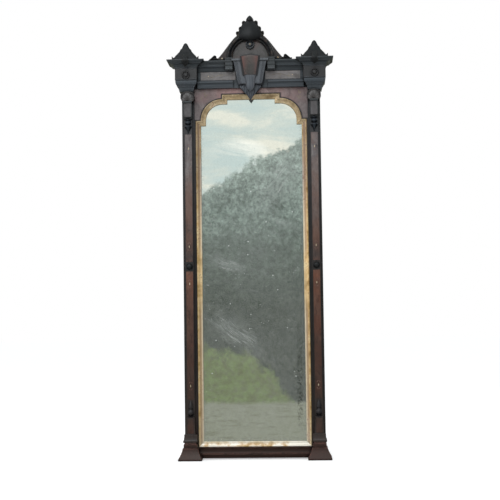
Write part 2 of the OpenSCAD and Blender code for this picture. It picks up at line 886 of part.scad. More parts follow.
// Stepped mouldings that spread from the capital to the corner block, round the stile's front and outer side
module neck(side) {
    top_half = neck_foot_half + neck_out;
    h = neck_h;
    p = neck_out;
    points = concat([[0, 0], [0.12 * h, 0.05 * p]], cove(0.18 * h, 0.14 * p, 0.42 * h, 0.45 * p),
        [[0.5 * h, 0.45 * p], [0.5 * h, 0.55 * p]], ovolo(0.58 * h, 0.6 * p, 0.86 * h, p), [[h, p]]);
    color(WALNUT) sided(side) difference() {
        moulded_block(block_x - neck_foot_half, block_x + neck_foot_half, neck_front, capital_top, points);
        slab(block_x - top_half - 1, stile_out, -1, stile_d, capital_top - 1, block_z + 1);
    }
}

module left_neck() { neck(-1); }
module right_neck() { neck(1); }

module block(side) {
    color(WALNUT) sided(side) slab(block_x0, block_x1, 0, block_d, block_z, block_top);
}

module left_block() { block(-1); }
module right_block() { block(1); }

module corner_roundels() {
    color(WALNUT) for (side = [-1, 1])
        turned_out(side * block_x, block_z + block_h / 2 - roundel_drop, block_d) polygon([
            [0, 0], [roundel_r, 0], [roundel_r, 0.4 * roundel_t], [0.85 * roundel_r, 0.75 * roundel_t],
            [0.7 * roundel_r, 0.4 * roundel_t], [0.45 * roundel_r, 0.35 * roundel_t],
            [0.38 * roundel_r, 0.75 * roundel_t], [0.2 * roundel_r, roundel_t], [0, roundel_t]]);
}

// Mitred cap; its inner return stops in front of the cornice
module cap(side) {
    p = cap_out;
    h = cap_h;
    points = concat([[0, 0.06 * p], [0.12 * h, 0.06 * p]], cove(0.16 * h, 0.12 * p, 0.46 * h, 0.5 * p),
        [[0.5 * h, 0.5 * p], [0.5 * h, 0.58 * p]], ogee(0.56 * h, 0.6 * p, 0.86 * h, 0.95 * p),
        [[0.88 * h, p], [h, p]]);
    color(WALNUT) sided(side) difference() {
        moulded_block(block_x0, block_x1, block_d, block_top, points);
        slab(block_x0 - p - 1, block_x0, -1, cornice_front, block_top - 1, cap_top + 1);
    }
}

module left_cap() { cap(-1); }
module right_cap() { cap(1); }

// Outline of one half of the finial, as shares of its half width and height
function finial_half() = [[0.88, 0], [0.98, 0.05], [1, 0.17], [0.95, 0.19], [0.84, 0.12], [0.44, 0.47],
    [0.39, 0.54], [0.34, 0.65], [0.24, 0.71], [0.18, 0.84], [0.12, 0.93], [0.06, 0.98], [0, 1]];

// Four-sided leaf roof, the crossing of a front outline and a side one
module finial(side) {
    half = finial_w / 2;
    side_half = finial_d / 2;
    mid_d = cap_front - finial_front_in - side_half;
    across = [for (p = finial_half()) [half * p[0], cap_top + finial_h * p[1]]];
    deep = [for (p = finial_half()) [side_half * p[0], cap_top + finial_h * p[1]]];
    color(WALNUT) sided(side) intersection() {
        board(mid_d - side_half, mid_d + side_half)
            translate([block_x, 0]) polygon(concat(across, mirrored(across)));
        run(block_x - half - 1, block_x + half + 1)
            translate([mid_d, 0]) polygon(concat(deep, mirrored(deep)));
    }
}

module left_finial() { finial(-1); }
module right_finial() { finial(1); }

module frieze_panel_boxes(d0, d1) {
    for (side = [-1, 1])
        sided(side) slab(keystone_foot + keystone_gap, block_x0 - frieze_panel_margin, d0, d1,
            block_z + frieze_panel_edge, frieze_top - frieze_panel_edge);
}

module frieze_board() {
    color(WALNUT) difference() {
        slab(-block_x0, block_x0, stile_d, frieze_front, top_rail_z, cornice_top);
        frieze_panel_boxes(frieze_front - burl_seat, frieze_front + 1);
    }
}

module frieze_panels() {
    color(BURL) frieze_panel_boxes(frieze_front - burl_seat, frieze_front - burl_seat + burl_t);
}

// Architrave in two lengths, either side of the keystone
module architrave() {
    p = architrave_out;
    h = architrave_h;
    points = concat([[0, 0], [0, 0.35 * p], [0.22 * h, 0.4 * p]], cove(0.26 * h, 0.45 * p, 0.6 * h, 0.75 * p),
        [[0.66 * h, p], [0.84 * h, p], [0.9 * h, 0.7 * p], [h, 0.6 * p], [h, 0]]);
    color(WALNUT) for (side = [-1, 1])
        sided(side) run(cornice_block_x, block_x0)
            polygon([for (q = points) [frieze_front + q[1], top_rail_z + q[0]]]);
}

// Section of the cornice, as points of [height, projection]
function cornice_points() = concat(
    [[0, 0], [0, 0.12 * cornice_out], [0.1 * cornice_h, 0.14 * cornice_out]],
    cove(0.16 * cornice_h, 0.2 * cornice_out, 0.4 * cornice_h, 0.55 * cornice_out),
    [[0.46 * cornice_h, 0.6 * cornice_out], [0.6 * cornice_h, 0.62 * cornice_out]],
    ogee(0.64 * cornice_h, 0.66 * cornice_out, 0.88 * cornice_h, 0.96 * cornice_out),
    [[0.9 * cornice_h, cornice_out], [cornice_h, cornice_out], [cornice_h, 0]]);

// Cornice in two lengths, each let into a taller block at its inner end
module cornice() {
    block_end = cornice_block_x + cornice_block_w;
    block_front = cornice_front - cornice_block_back;
    color(WALNUT) for (side = [-1, 1]) sided(side) {
        run(block_end - cornice_lap, block_x0)
            polygon([for (p = cornice_points()) [frieze_front + p[1], frieze_top + p[0]]]);
        run(cornice_block_x, block_end) polygon([
            [frieze_front, frieze_top], [block_front, frieze_top],
            [block_front, cornice_top + cornice_block_rise], [crest_front, cornice_top + cornice_block_rise],
            [crest_front, cornice_top], [frieze_front, cornice_top]]);
    }
}

// Low running scroll that rises to a curl, on top of the cornice
module cornice_scrolls() {
    x0 = cornice_block_x + cornice_block_w + clearance;
    outline = [[0, 0], [1, 0], [0.94, 0.22], [0.84, 0.4], [0.74, 0.58], [0.66, 0.96], [0.58, 1], [0.52, 0.78],
        [0.42, 0.62], [0.3, 0.5], [0.16, 0.46], [0.05, 0.3]];
    color(WALNUT) for (side = [-1, 1])
        sided(side) board(scroll_d, scroll_d + scroll_t)
            polygon([for (p = outline) [x0 + scroll_l * p[0], cornice_top + scroll_h * p[1]]]);
}

// Sides of the crest board, half straight and half ogee, as points of [across, height]
function crest_half() = [for (i = [0:2 * curve_steps])
    let (t = i / (2 * curve_steps), rise = 0.4 * t + 0.3 * (1 - cos(180 * t)))
        [crest_foot + (crest_head - crest_foot) * t, cornice_top + crest_board_h * rise]];

module crest_board() {
    color(BURL) difference() {
        board(crest_d, crest_front) polygon(concat(crest_half(), mirrored(crest_half())));
        screws(clearance);
    }
}

// Half round moulding with short legs that stand on the cornice blocks
module arch_moulding() {
    t = arch_t;
    w = arch_w;
    r0 = arch_r - arch_w;
    section = [[0, 0], [0, 0.45 * t], [0.14 * w, 0.6 * t], [0.26 * w, 0.5 * t], [0.42 * w, 0.6 * t],
        [0.55 * w, 0.9 * t], [0.72 * w, t], [0.88 * w, 0.92 * t], [w, 0.6 * t], [w, 0]];
    color(WALNUT) union() {
        translate([0, wall_y - crest_front, arch_z])
            rotate([90, 0, 0])
                rotate_extrude(angle = 180)
                    polygon([for (p = section) [r0 + p[0], p[1]]]);
        for (side = [-1, 1])
            sided(side) upright(cornice_top + cornice_block_rise, arch_z)
                polygon([for (p = section) [r0 + p[0], crest_front + p[1]]]);
    }
}

module tympanum_panel() {
    r = arch_r - arch_w - clearance;
    color(BURL) board(crest_front, crest_front + tympanum_t) intersection() {
        union() {
            translate([0, arch_z]) circle(r = r, $fn = 96);
            translate([-cornice_block_x + clearance, cornice_top])
                square([2 * (cornice_block_x - clearance), arch_rise]);
        }
        translate([-r, cornice_top]) square([2 * r, r + arch_rise]);
    }
}

module crest_roundel() {
    r = crest_roundel_r;
    t = crest_roundel_t;
    color(WALNUT) turned_out(0, arch_z + crest_roundel_rise, crest_front + tympanum_t) polygon([
        [0, 0], [r, 0], [r, 0.3 * t], [0.86 * r, 0.62 * t], [0.7 * r, 0.5 * t], [0.55 * r, 0.25 * t],
        [0.4 * r, 0.3 * t], [0.32 * r, 0.7 * t], [0.16 * r, 0.94 * t], [0, t]]);
}

// Lobed outline of the leaf cap, as shares of its half width and height
function leaf_half() = [[0.92, 0], [0.98, 0.07], [1.0, 0.16], [0.9, 0.21], [0.84, 0.26], [0.86, 0.36],
    [0.78, 0.43], [0.66, 0.45], [0.62, 0.52], [0.62, 0.64], [0.52, 0.71], [0.36, 0.7], [0.27, 0.73],
    [0.26, 0.8], [0.19, 0.9], [0.1, 0.97], [0, 1]];

// Leaf that crowns the crest, with a tongue drooping over the arch
module leaf_cap() {
    half = leaf_w / 2;
    outline = [for (p = leaf_half()) [half * p[0], crest_top + leaf_h * p[1]]];
    tongue = [[0.42 * half, crest_top - 0.88 * leaf_droop], [0.74 * half, crest_top - 0.5 * leaf_droop],
        [0.86 * half, crest_top], [0.7 * half, crest_top + 0.28 * leaf_h],
        [0.48 * half, crest_top + 0.55 * leaf_h], [0.18 * half, crest_top + 0.72 * leaf_h]];
    color(WALNUT) union() {
        board(crest_d, arch_front) polygon(concat(outline, mirrored(outline)));
        board(arch_front, leaf_d) polygon(concat([[0, crest_top - leaf_droop]], tongue, mirrored(tongue)));
    }
}

// Tapered block with ears, in front of the frieze
module keystone() {
    ear_x = keystone_top + ear_half;
    ear_z = keystone_top_z - ear_h;
    ear_front = keystone_d + ear_proud;
    color(WALNUT) union() {
        board(frieze_front, keystone_d) polygon([
            [keystone_foot, keystone_z], [keystone_top, keystone_top_z], [-keystone_top, keystone_top_z],
            [-keystone_foot, keystone_z]]);
        slab(-ear_x, ear_x, cornice_front + ear_clear, ear_front, ear_z, keystone_top_z);
        slab(-keystone_foot, keystone_foot, frieze_front, ear_front, ear_z, keystone_top_z);
    }
}

// Raised shield with a burl face
module shield_panel() {
    z0 = keystone_z + shield_base;
    z1 = keystone_top_z + shield_rise;
    seat = keystone_d + ear_proud;
    ear_z = keystone_top_z - ear_h;
    edge = shield_edge;
    field = [[shield_foot - edge, z0 + edge], [shield_top - edge / 2, keystone_top_z],
        [0.72 * shield_top, z1 - edge / 2], [0, z1]];
    color(BURL) union() {
        board(keystone_d, keystone_d + shield_t) polygon([
            [shield_foot, z0], [shield_top - edge / 2, ear_z], [edge / 2 - shield_top, ear_z],
            [-shield_foot, z0]]);
        board(seat, seat + shield_t) polygon(concat(field, mirrored(field)));
    }
}

// Pointed drop under the keystone, with a tongue that climbs its face
module pendant() {
    z1 = keystone_z;
    l = pendant_l;
    half = pendant_half;
    tongue_front = keystone_d + tongue_t;
    side = [[half, z1], [0.86 * half, z1 - 0.33 * l], [0.5 * half, z1 - 0.55 * l],
        [0.2 * half, z1 - 0.8 * l]];
    color(WALNUT) union() {
        board(frieze_front, frieze_front + pendant_t) polygon(concat(side, [[0, z1 - l]], mirrored(side)));
        board(frieze_front + pendant_t, tongue_front) {
            translate([-tongue_r, z1 - 0.22 * l]) square([2 * tongue_r, 0.22 * l]);
            translate([0, z1 - 0.22 * l]) circle(r = tongue_r);
        }
        board(keystone_d, tongue_front)
            translate([-tongue_r, z1]) square([2 * tongue_r, shield_base - shield_edge]);
    }
}

left_stile();
right_stile();
top_rail();
bottom_rail();
bottom_moulding();
backboards();
back_battens();
back_screws();
crest_cleats();
wall_plates();
mirror_glass();
glazing_blocks();
liner_left();
liner_right();
liner_bottom();
liner_head();
outer_bead();
spandrel_panel();
left_plinth();
right_plinth();
left_pedestal();
right_pedestal();
pedestal_panels();
left_pilaster();
right_pilaster();
left_shaft_panels();
right_shaft_panels();
left_turning();
right_turning();
left_boss();
right_boss();
left_drop();
right_drop();
left_console();
right_console();
console_panels();
left_capital();
right_capital();
left_neck();
right_neck();
left_block();
right_block();
corner_roundels();
left_cap();
right_cap();
left_finial();
right_finial();
frieze_board();
frieze_panels();
architrave();
cornice();
cornice_scrolls();
crest_board();
arch_moulding();
tympanum_panel();
crest_roundel();
leaf_cap();
keystone();
shield_panel();
pendant();
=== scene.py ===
import math

import bmesh
import bpy
import numpy as np
from mathutils import Matrix, Vector


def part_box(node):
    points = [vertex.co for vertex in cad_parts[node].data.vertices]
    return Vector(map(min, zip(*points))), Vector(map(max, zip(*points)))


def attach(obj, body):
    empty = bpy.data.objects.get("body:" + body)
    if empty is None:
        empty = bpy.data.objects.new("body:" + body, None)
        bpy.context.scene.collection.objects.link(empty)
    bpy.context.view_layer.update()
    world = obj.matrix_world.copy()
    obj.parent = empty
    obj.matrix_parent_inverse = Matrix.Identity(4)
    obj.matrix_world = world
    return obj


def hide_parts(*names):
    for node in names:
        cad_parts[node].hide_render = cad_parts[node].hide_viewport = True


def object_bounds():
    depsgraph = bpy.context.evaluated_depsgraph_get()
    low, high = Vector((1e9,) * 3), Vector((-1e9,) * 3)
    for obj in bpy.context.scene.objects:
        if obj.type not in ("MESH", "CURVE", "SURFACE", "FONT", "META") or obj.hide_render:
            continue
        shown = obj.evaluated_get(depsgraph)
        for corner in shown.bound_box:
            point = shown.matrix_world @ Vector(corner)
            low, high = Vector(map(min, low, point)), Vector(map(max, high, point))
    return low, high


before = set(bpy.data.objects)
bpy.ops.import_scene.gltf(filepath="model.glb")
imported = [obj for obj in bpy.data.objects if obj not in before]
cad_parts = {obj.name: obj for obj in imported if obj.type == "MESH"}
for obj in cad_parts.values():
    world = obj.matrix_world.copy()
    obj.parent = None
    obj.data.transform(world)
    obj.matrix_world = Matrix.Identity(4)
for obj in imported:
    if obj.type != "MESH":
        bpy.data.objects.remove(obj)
cadLow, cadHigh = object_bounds()
print("stage: frame loaded,", len(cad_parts), "nodes")

# Camera, fitted to the corners of the frame, the cornice and the crest in the reference picture
camera = {
    "place": (0.2385, -6.0, 0.8044),  # metres; the front faces -Y
    "tiltUp": 3.521,                  # degrees
    "turnLeft": 2.416,
    "roll": -0.751,
    "focalPixels": 1063.7,            # for a picture 500 pixels wide
    "pictureWidth": 500,
    "sensor": 36.0,
}


def makeCamera(c):
    tilt, turn, roll = (math.radians(c[k]) for k in ("tiltUp", "turnLeft", "roll"))
    right = Vector((math.cos(turn), math.sin(turn), 0.0))
    ahead = Vector((-math.sin(turn) * math.cos(tilt), math.cos(turn) * math.cos(tilt), math.sin(tilt)))
    up = right.cross(ahead)
    turnedRight = right * math.cos(roll) + up * math.sin(roll)
    turnedUp = up * math.cos(roll) - right * math.sin(roll)
    data = bpy.data.cameras.new("camera")
    data.sensor_width = c["sensor"]
    data.lens = c["focalPixels"] / c["pictureWidth"] * c["sensor"]
    obj = bpy.data.objects.new("camera", data)
    bpy.context.scene.collection.objects.link(obj)
    axes = Matrix((turnedRight, turnedUp, -ahead)).transposed()
    obj.matrix_world = Matrix.Translation(c["place"]) @ axes.to_4x4()
    bpy.context.scene.camera = obj


makeCamera(camera)


# Small helpers for node trees: a new node with its settings, and links by socket name
class Tree:
    def __init__(self, owner):
        owner.use_nodes = True
        self.nodes = owner.node_tree.nodes
        self.links = owner.node_tree.links
        self.nodes.clear()

    def add(self, kind, values=None, **settings):
        made = self.nodes.new(kind)
        for key, value in settings.items():
            setattr(made, key, value)
        for key, value in (values or {}).items():
            self.feed(made.inputs[key], value)
        return made

    def feed(self, socket, value):
        if isinstance(value, bpy.types.NodeSocket):
            self.links.new(value, socket)
        elif socket.type == "RGBA":
            socket.default_value = (*value, 1.0)
        else:
            socket.default_value = value

    def math(self, operation, a, b=0.0, clamp=False):
        return self.add("ShaderNodeMath", {0: a, 1: b}, operation=operation, use_clamp=clamp).outputs[0]

    # One operation over any number of values, from the left
    def chain(self, operation, values):
        total = values[0]
        for value in values[1:]:
            total = self.math(operation, total, value)
        return total

    def times(self, *values):
        return self.chain("MULTIPLY", values)

    def plus(self, *values):
        return self.chain("ADD", values)

    def minus(self, *values):
        return self.chain("SUBTRACT", values)

    def most(self, *values):
        return self.chain("MAXIMUM", values)

    def size(self, value):
        return self.math("ABSOLUTE", value)

    def vector(self, operation, a, b=(0.0, 0.0, 0.0)):
        made = self.add("ShaderNodeVectorMath", {0: a, 1: b}, operation=operation)
        return made.outputs["Value" if operation in ("DOT_PRODUCT", "LENGTH") else "Vector"]

    def scaled(self, vector, scale):
        return self.add("ShaderNodeMapping", {"Vector": vector, "Scale": scale}).outputs[0]

    def parts(self, vector):
        return self.add("ShaderNodeSeparateXYZ", {"Vector": vector}).outputs

    def objectPlace(self):
        return self.add("ShaderNodeTexCoord").outputs["Object"]

    def geometry(self, output):
        return self.add("ShaderNodeNewGeometry").outputs[output]

    # Points pushed about by a coloured noise
    def bend(self, points, reach, *noise):
        push = self.vector("MULTIPLY", self.noise(*noise, output="Color"), grey(reach))
        return self.vector("ADD", points, push)

    def mix(self, factor, a, b, blend="MIX"):
        made = self.add("ShaderNodeMix", {0: factor, 6: a, 7: b}, data_type="RGBA", blend_type=blend)
        return made.outputs[2]

    def ramp(self, factor, stops):
        made = self.add("ShaderNodeValToRGB")
        points = made.color_ramp.elements
        while len(points) < len(stops):
            points.new(0.5)
        for point, (place, colour) in zip(points, stops):
            point.position = place
            point.color = (*colour, 1.0)
        self.feed(made.inputs[0], factor)
        return made.outputs[0]

    def curve(self, value, low, high, toLow=0.0, toHigh=1.0):
        made = self.add("ShaderNodeMapRange", {"Value": value, "From Min": low, "From Max": high,
                                               "To Min": toLow, "To Max": toHigh})
        return made.outputs[0]

    def noise(self, vector, scale, detail=4.0, roughness=0.55, distortion=0.0, output=0):
        made = self.add("ShaderNodeTexNoise", {"Vector": vector, "Scale": scale, "Detail": detail,
                                               "Roughness": roughness, "Distortion": distortion})
        return made.outputs[output]

    def eyes(self, vector, scale):
        return self.add("ShaderNodeTexVoronoi", {"Vector": vector, "Scale": scale}).outputs["Distance"]

    # Whether a ray comes plainly, from the camera or through a clear surface, and whether it is reflected
    def rays(self):
        path = self.add("ShaderNodeLightPath").outputs
        return self.most(path["Is Camera Ray"], path["Is Transmission Ray"]), path["Is Glossy Ray"]

    def output(self, surface, kind="ShaderNodeOutputMaterial"):
        self.links.new(surface.outputs[0], self.add(kind).inputs["Surface"])


def grey(level):
    return (level, level, level)


# Plain floor, white to the camera, with the soft shadow of the piece left on it
floor = {
    "half": 30.0,
    "albedo": 0.82,
    "glow": 0.42,  # what the camera sees added to the lit floor
}


def makeFloor(f):
    h = f["half"]
    mesh = bpy.data.meshes.new("floor")
    mesh.from_pydata([(-h, -h, 0), (h, -h, 0), (h, h, 0), (-h, h, 0)], [], [(0, 1, 2, 3)])
    obj = bpy.data.objects.new("floor", mesh)
    bpy.context.scene.collection.objects.link(obj)
    material = bpy.data.materials.new("paleFloor")
    t = Tree(material)
    plain = t.add("ShaderNodeBsdfDiffuse", {"Color": grey(f["albedo"])})
    plainly, _ = t.rays()
    glow = t.add("ShaderNodeEmission", {"Color": grey(1.0), "Strength": t.times(plainly, f["glow"])})
    t.output(t.add("ShaderNodeAddShader", {0: plain.outputs[0], 1: glow.outputs[0]}))
    mesh.materials.append(material)
    obj.visible_glossy = False  # polish and plate show the ground tone of the world below instead


# World: white to the camera and soft studio grey for light. Polish and plate reflect a cloudy sky, a dark
# slope that rises to the right, a strip of green and a pale ground, from the direction of the ray alone
world = {
    "studio": (0.70, 0.72, 0.74),
    "cloud": [(0.38, (0.62, 0.73, 0.72)), (0.50, (0.75, 0.80, 0.74)), (0.60, (1.02, 0.97, 0.84))],
    "bright": (1.35, 1.30, 1.21),
    "brightAt": (-0.051, 0.153),  # across and up
    "brightHalf": (0.024, 0.011),
    "puffScale": (14.0, 14.0, 44.0),
    "zenith": (0.74, 0.82, 0.80),
    "slope": [(0.0, (0.128, 0.134, 0.115)), (0.3, (0.130, 0.142, 0.122)), (0.55, (0.190, 0.228, 0.198)),
              (0.72, (0.385, 0.470, 0.425)), (0.95, (0.58, 0.68, 0.625))],
    "slopeFrom": -0.06,   # heights are the upward share of the ray
    "slopeTo": 0.16,
    "edge": 0.138,        # height of the slope's edge where the mirror faces the camera
    "rise": 0.56,
    "ragged": 0.016,
    "stands": (26.0, 4.0, 0.6),  # scale, detail and roughness
    "leaves": (120.0, 8.0, 0.74),
    "twigs": (300.0, 4.0, 0.8),
    "blades": (190.0, 6.0, 0.8),
    "shades": [(0.055, 0.065, 0.055), (0.06, 0.07, 0.06), (0.05, 0.06, 0.05)],  # leaves, stands, twigs
    "green": (0.205, 0.262, 0.120),
    "greenTop": -0.034,
    "greenDip": 0.058,
    "greenDipAt": 0.012,
    "greenDipHalf": 0.035,
    "bare": (0.15, 0.15, 0.095),
    "ground": (0.315, 0.325, 0.265),
    "groundTop": -0.079,
    "wornScale": (60.0, 60.0, 400.0),
    "aside": (0.02, 0.022, 0.022),  # what polish sees far to the left and right
}


def makeWorld(w):
    made = bpy.data.worlds.new("studio")
    bpy.context.scene.world = made
    t = Tree(made)
    way = t.add("ShaderNodeTexCoord").outputs["Generated"]
    across, _, height = t.parts(way)
    wide, leafy, grain, blades = (t.noise(way, *w[key]) for key in ("stands", "leaves", "twigs", "blades"))
    puffs = t.noise(t.scaled(way, w["puffScale"]), 1.0, 8.0, 0.60, 0.4)
    cloud = t.ramp(puffs, w["cloud"])
    aside, above = (t.math("DIVIDE", t.minus(value, at), half)
                    for value, at, half in zip((across, height), w["brightAt"], w["brightHalf"]))
    far = t.plus(t.times(aside, aside), t.times(above, above))
    glow = t.times(t.curve(far, 1.6, 0.0), t.curve(puffs, 0.38, 0.56))
    cloud = t.mix(glow, cloud, w["bright"])
    sky = t.mix(t.curve(height, 0.15, 0.45, 0.15, 0.9), cloud, w["zenith"])
    rough = t.plus(*(t.times(t.minus(pattern, 0.5), w["ragged"] * much)
                     for pattern, much in ((wide, 1.6), (leafy, 2.6))))
    edge = t.curve(across, -0.15, 0.03, w["edge"] - 0.107 * w["rise"], w["edge"] + 0.073 * w["rise"])
    edge = t.plus(edge, rough)
    slope = t.ramp(t.curve(height, w["slopeFrom"], w["slopeTo"]), w["slope"])
    depths = ((leafy, 0.36, 0.55), (wide, 0.40, 0.25), (grain, 0.40, 0.55))
    for (pattern, low, share), dark in zip(depths, w["shades"]):
        slope = t.mix(t.curve(pattern, low, 0.60, share, 0.0), slope, dark)
    seen = t.mix(t.curve(t.minus(height, edge), 0.003, -0.003), sky, slope)
    dip = t.math("DIVIDE", t.minus(across, w["greenDipAt"]), w["greenDipHalf"])
    dip = t.times(t.math("EXPONENT", t.times(dip, dip, -1.0)), w["greenDip"])
    greenTop = t.minus(t.plus(rough, w["greenTop"]), dip)
    grass = t.mix(t.curve(blades, 0.38, 0.60, 0.85, 0.0), w["green"], w["bare"])
    seen = t.mix(t.curve(t.minus(height, greenTop), 0.004, -0.004), seen, grass)
    onGround = t.curve(t.plus(height, t.times(rough, 0.1)), w["groundTop"], w["groundTop"] - 0.004)
    worn = t.noise(t.scaled(way, w["wornScale"]), 1.0)
    stony = t.mix(t.curve(worn, 0.36, 0.46, 0.40, 0.0), w["ground"], w["bare"])
    seen = t.mix(onGround, seen, t.mix(t.curve(grain, 0.40, 0.60, 0.25, 0.0), stony, w["bare"]))
    seen = t.mix(t.curve(t.size(across), 0.45, 0.75, 0.0, 0.8), seen, w["aside"])
    plainly, glossy = t.rays()
    colour = t.mix(plainly, t.mix(glossy, w["studio"], seen), grey(1.0))
    t.output(t.add("ShaderNodeBackground", {"Color": colour, "Strength": 1.0}), "ShaderNodeOutputWorld")


# Three soft panels, each aimed at the middle of the piece
lamps = [
    {"name": "skyPanel", "place": (-1.2, -3.6, 4.6), "aimHeight": 1.3, "size": (3.6, 2.4), "power": 70},
    {"name": "sidePanel", "place": (-3.6, -1.4, 1.9), "aimHeight": 1.2, "size": (1.8, 2.6), "power": 22},
    {"name": "rearPanel", "place": (2.6, 3.4, 3.4), "aimHeight": 1.2, "size": (2.6, 2.2), "power": 28},
]


def makeLamps(rows):
    for row in rows:
        data = bpy.data.lights.new(row["name"], "AREA")
        data.shape = "RECTANGLE"
        data.size, data.size_y = row["size"]
        data.energy = row["power"]
        obj = bpy.data.objects.new(row["name"], data)
        obj.location = row["place"]
        way = Vector((0.0, 0.0, row["aimHeight"])) - Vector(row["place"])
        obj.rotation_euler = way.to_track_quat("-Z", "Y").to_euler()
        bpy.context.scene.collection.objects.link(obj)


makeFloor(floor)
makeWorld(world)
makeLamps(lamps)
bpy.context.scene.view_settings.view_transform = "Standard"
print("stage: camera, floor, world and lamps")


# Materials. Colours are linear; grain runs along z on uprights and along x on rails
def grainSpace(t, along, fine, coarse):
    place = t.objectPlace()
    return place, t.scaled(place, {"x": (coarse, fine, fine), "z": (fine, fine, coarse)}[along])


# Rounded normal, and the share of each point that lies near an edge: how far the two normals part
def softEdge(t, radius):
    rounded = t.add("ShaderNodeBevel", {"Radius": radius}, samples=6).outputs[0]
    return rounded, t.curve(t.vector("DOT_PRODUCT", rounded, t.geometry("True Normal")), 0.995, 0.80)


# Tone that drifts with height, or with the distance from the middle: stops in metres, each with a tint
# The tints are partly the piece's own tone and partly painted light, such as a blue-grey sky sheen high up
def drift(t, colour, place, stops, axis="Z"):
    reach = getattr(cadHigh, axis.lower())
    share = t.curve(t.size(t.parts(place)[axis]), 0.0, reach)
    return t.mix(1.0, colour, t.ramp(share, [(at / reach, tint) for at, tint in stops]), "MULTIPLY")


# Normal with a fine relief on it
def bumped(t, height, strength, distance, normal=None):
    values = {"Height": height, "Strength": strength, "Distance": distance}
    if normal is not None:
        values["Normal"] = normal
    return t.add("ShaderNodeBump", values).outputs[0]


# Surface shader; its further values are named as its sockets are, with underscores for spaces
def shade(t, colour, roughness, normal, **shader):
    values = {"Base Color": colour, "Roughness": roughness, "Normal": normal}
    values.update((key.replace("_", " "), value) for key, value in shader.items())
    t.output(t.add("ShaderNodeBsdfPrincipled", values))


# Dark stained walnut: long fibres, pores, slow patches of tone, a tone that drifts with height, partly
# painted sky sheen, paler wood worn bare on the edges, and painted shade with some grime in recesses and
# under things
def walnut(t, w):
    place, fibre = grainSpace(t, w["along"], *w["grain"])
    fibres = t.noise(fibre, 1.0, 6.0, 0.62)
    patches = t.noise(place, w["patchScale"], 3.0)
    pores = t.noise(fibre, 4.0, 2.0, 0.5)
    wood = t.ramp(fibres, [(0.30, w["dark"]), (0.52, w["middle"]), (0.74, w["light"])])
    wood = t.mix(t.curve(patches, 0.35, 0.68, 0.0, 0.55), wood, w["patch"])
    wood = t.mix(t.curve(pores, 0.60, 0.72, 0.0, 0.6), wood, w["dark"])
    wood = drift(t, wood, place, w["drift"])
    rounded, edge = softEdge(t, w["round"])
    rubbed = t.curve(t.noise(place, w["wearScale"]), w["wearFrom"], w["wearFrom"] + 0.20)
    if w["ridge"]:
        edge = t.most(edge, t.curve(t.geometry("Pointiness"), 0.515, 0.58, 0.0, w["ridge"]))
    wood = t.mix(t.times(edge, rubbed, w["wear"]), wood, w["bare"])
    # Painted shade with some grime: recesses found by ambient occlusion are darkened towards a near black
    # tone
    clear = t.add("ShaderNodeAmbientOcclusion", {"Distance": w["shadeAndGrimeReach"]}, samples=6).outputs["AO"]
    clear = t.curve(clear, 0.35, 0.92, 1.0 - w["shadeAndGrime"], 1.0)
    # Painted shade under things: faces turned sideways and down are darkened the same way
    facing = t.parts(t.geometry("Normal"))
    under = t.times(t.curve(t.size(facing["X"]), 0.20, 0.50), t.curve(facing["Z"], -0.08, -0.30, 0.0, 0.85))
    clear = t.times(clear, t.minus(1.0, under))
    wood = t.mix(clear, w["shadeAndGrimeTone"], wood)
    rough = t.curve(t.plus(fibres, patches), 0.6, 1.4, w["rough"] - 0.07, w["rough"] + 0.10)
    normal = bumped(t, t.plus(fibres, t.times(pores, -0.6)), *w["relief"], rounded)
    # Reflections are dimmed in the same recesses and undersides, painted shade on the polish too
    shade(t, wood, rough, normal, Coat_Weight=w["polish"], Coat_Roughness=0.28,
          Specular_IOR_Level=t.times(clear, w["gloss"]), Specular_Tint=w["sheen"])


# Burl veneer: bent figure between three tones, clusters of dark eyes, fine flecks and redder clouds
def burl(t, b):
    place = t.objectPlace()
    moved = t.bend(place, b["bend"], place, b["swirl"], 3.0, 0.6)
    stretched = t.scaled(moved, b["stretch"])
    figure = t.noise(stretched, b["figure"], 8.0, 0.66, 0.7)
    fleck = t.noise(stretched, b["figure"] * 9, 4.0, 0.6)
    cluster = t.curve(t.noise(place, b["clusters"], 2.0), 0.50, 0.62)
    eyes = t.times(t.curve(t.eyes(moved, b["eyes"]), 0.26, 0.06), cluster)
    tone = t.plus(t.times(figure, 0.75), t.times(fleck, 0.25))
    wood = t.ramp(tone, [(0.36, b["dark"]), (0.48, b["middle"]), (0.62, b["light"])])
    wood = t.mix(t.times(eyes, 0.6), wood, b["dark"])
    redder = t.noise(place, b["clouds"], 3.0)
    wood = t.mix(t.curve(redder, 0.46, 0.64, 0.0, b["redShare"]), wood, b["red"])
    wood = drift(t, drift(t, wood, place, b["drift"]), place, b["flank"], "X")
    rough = t.curve(figure, 0.3, 0.7, b["rough"], b["rough"] + 0.14)
    normal = bumped(t, tone, *b["relief"], softEdge(t, b["round"])[0])
    shade(t, wood, rough, normal, Coat_Weight=b["coat"], Coat_Roughness=0.22, Specular_IOR_Level=b["gloss"])
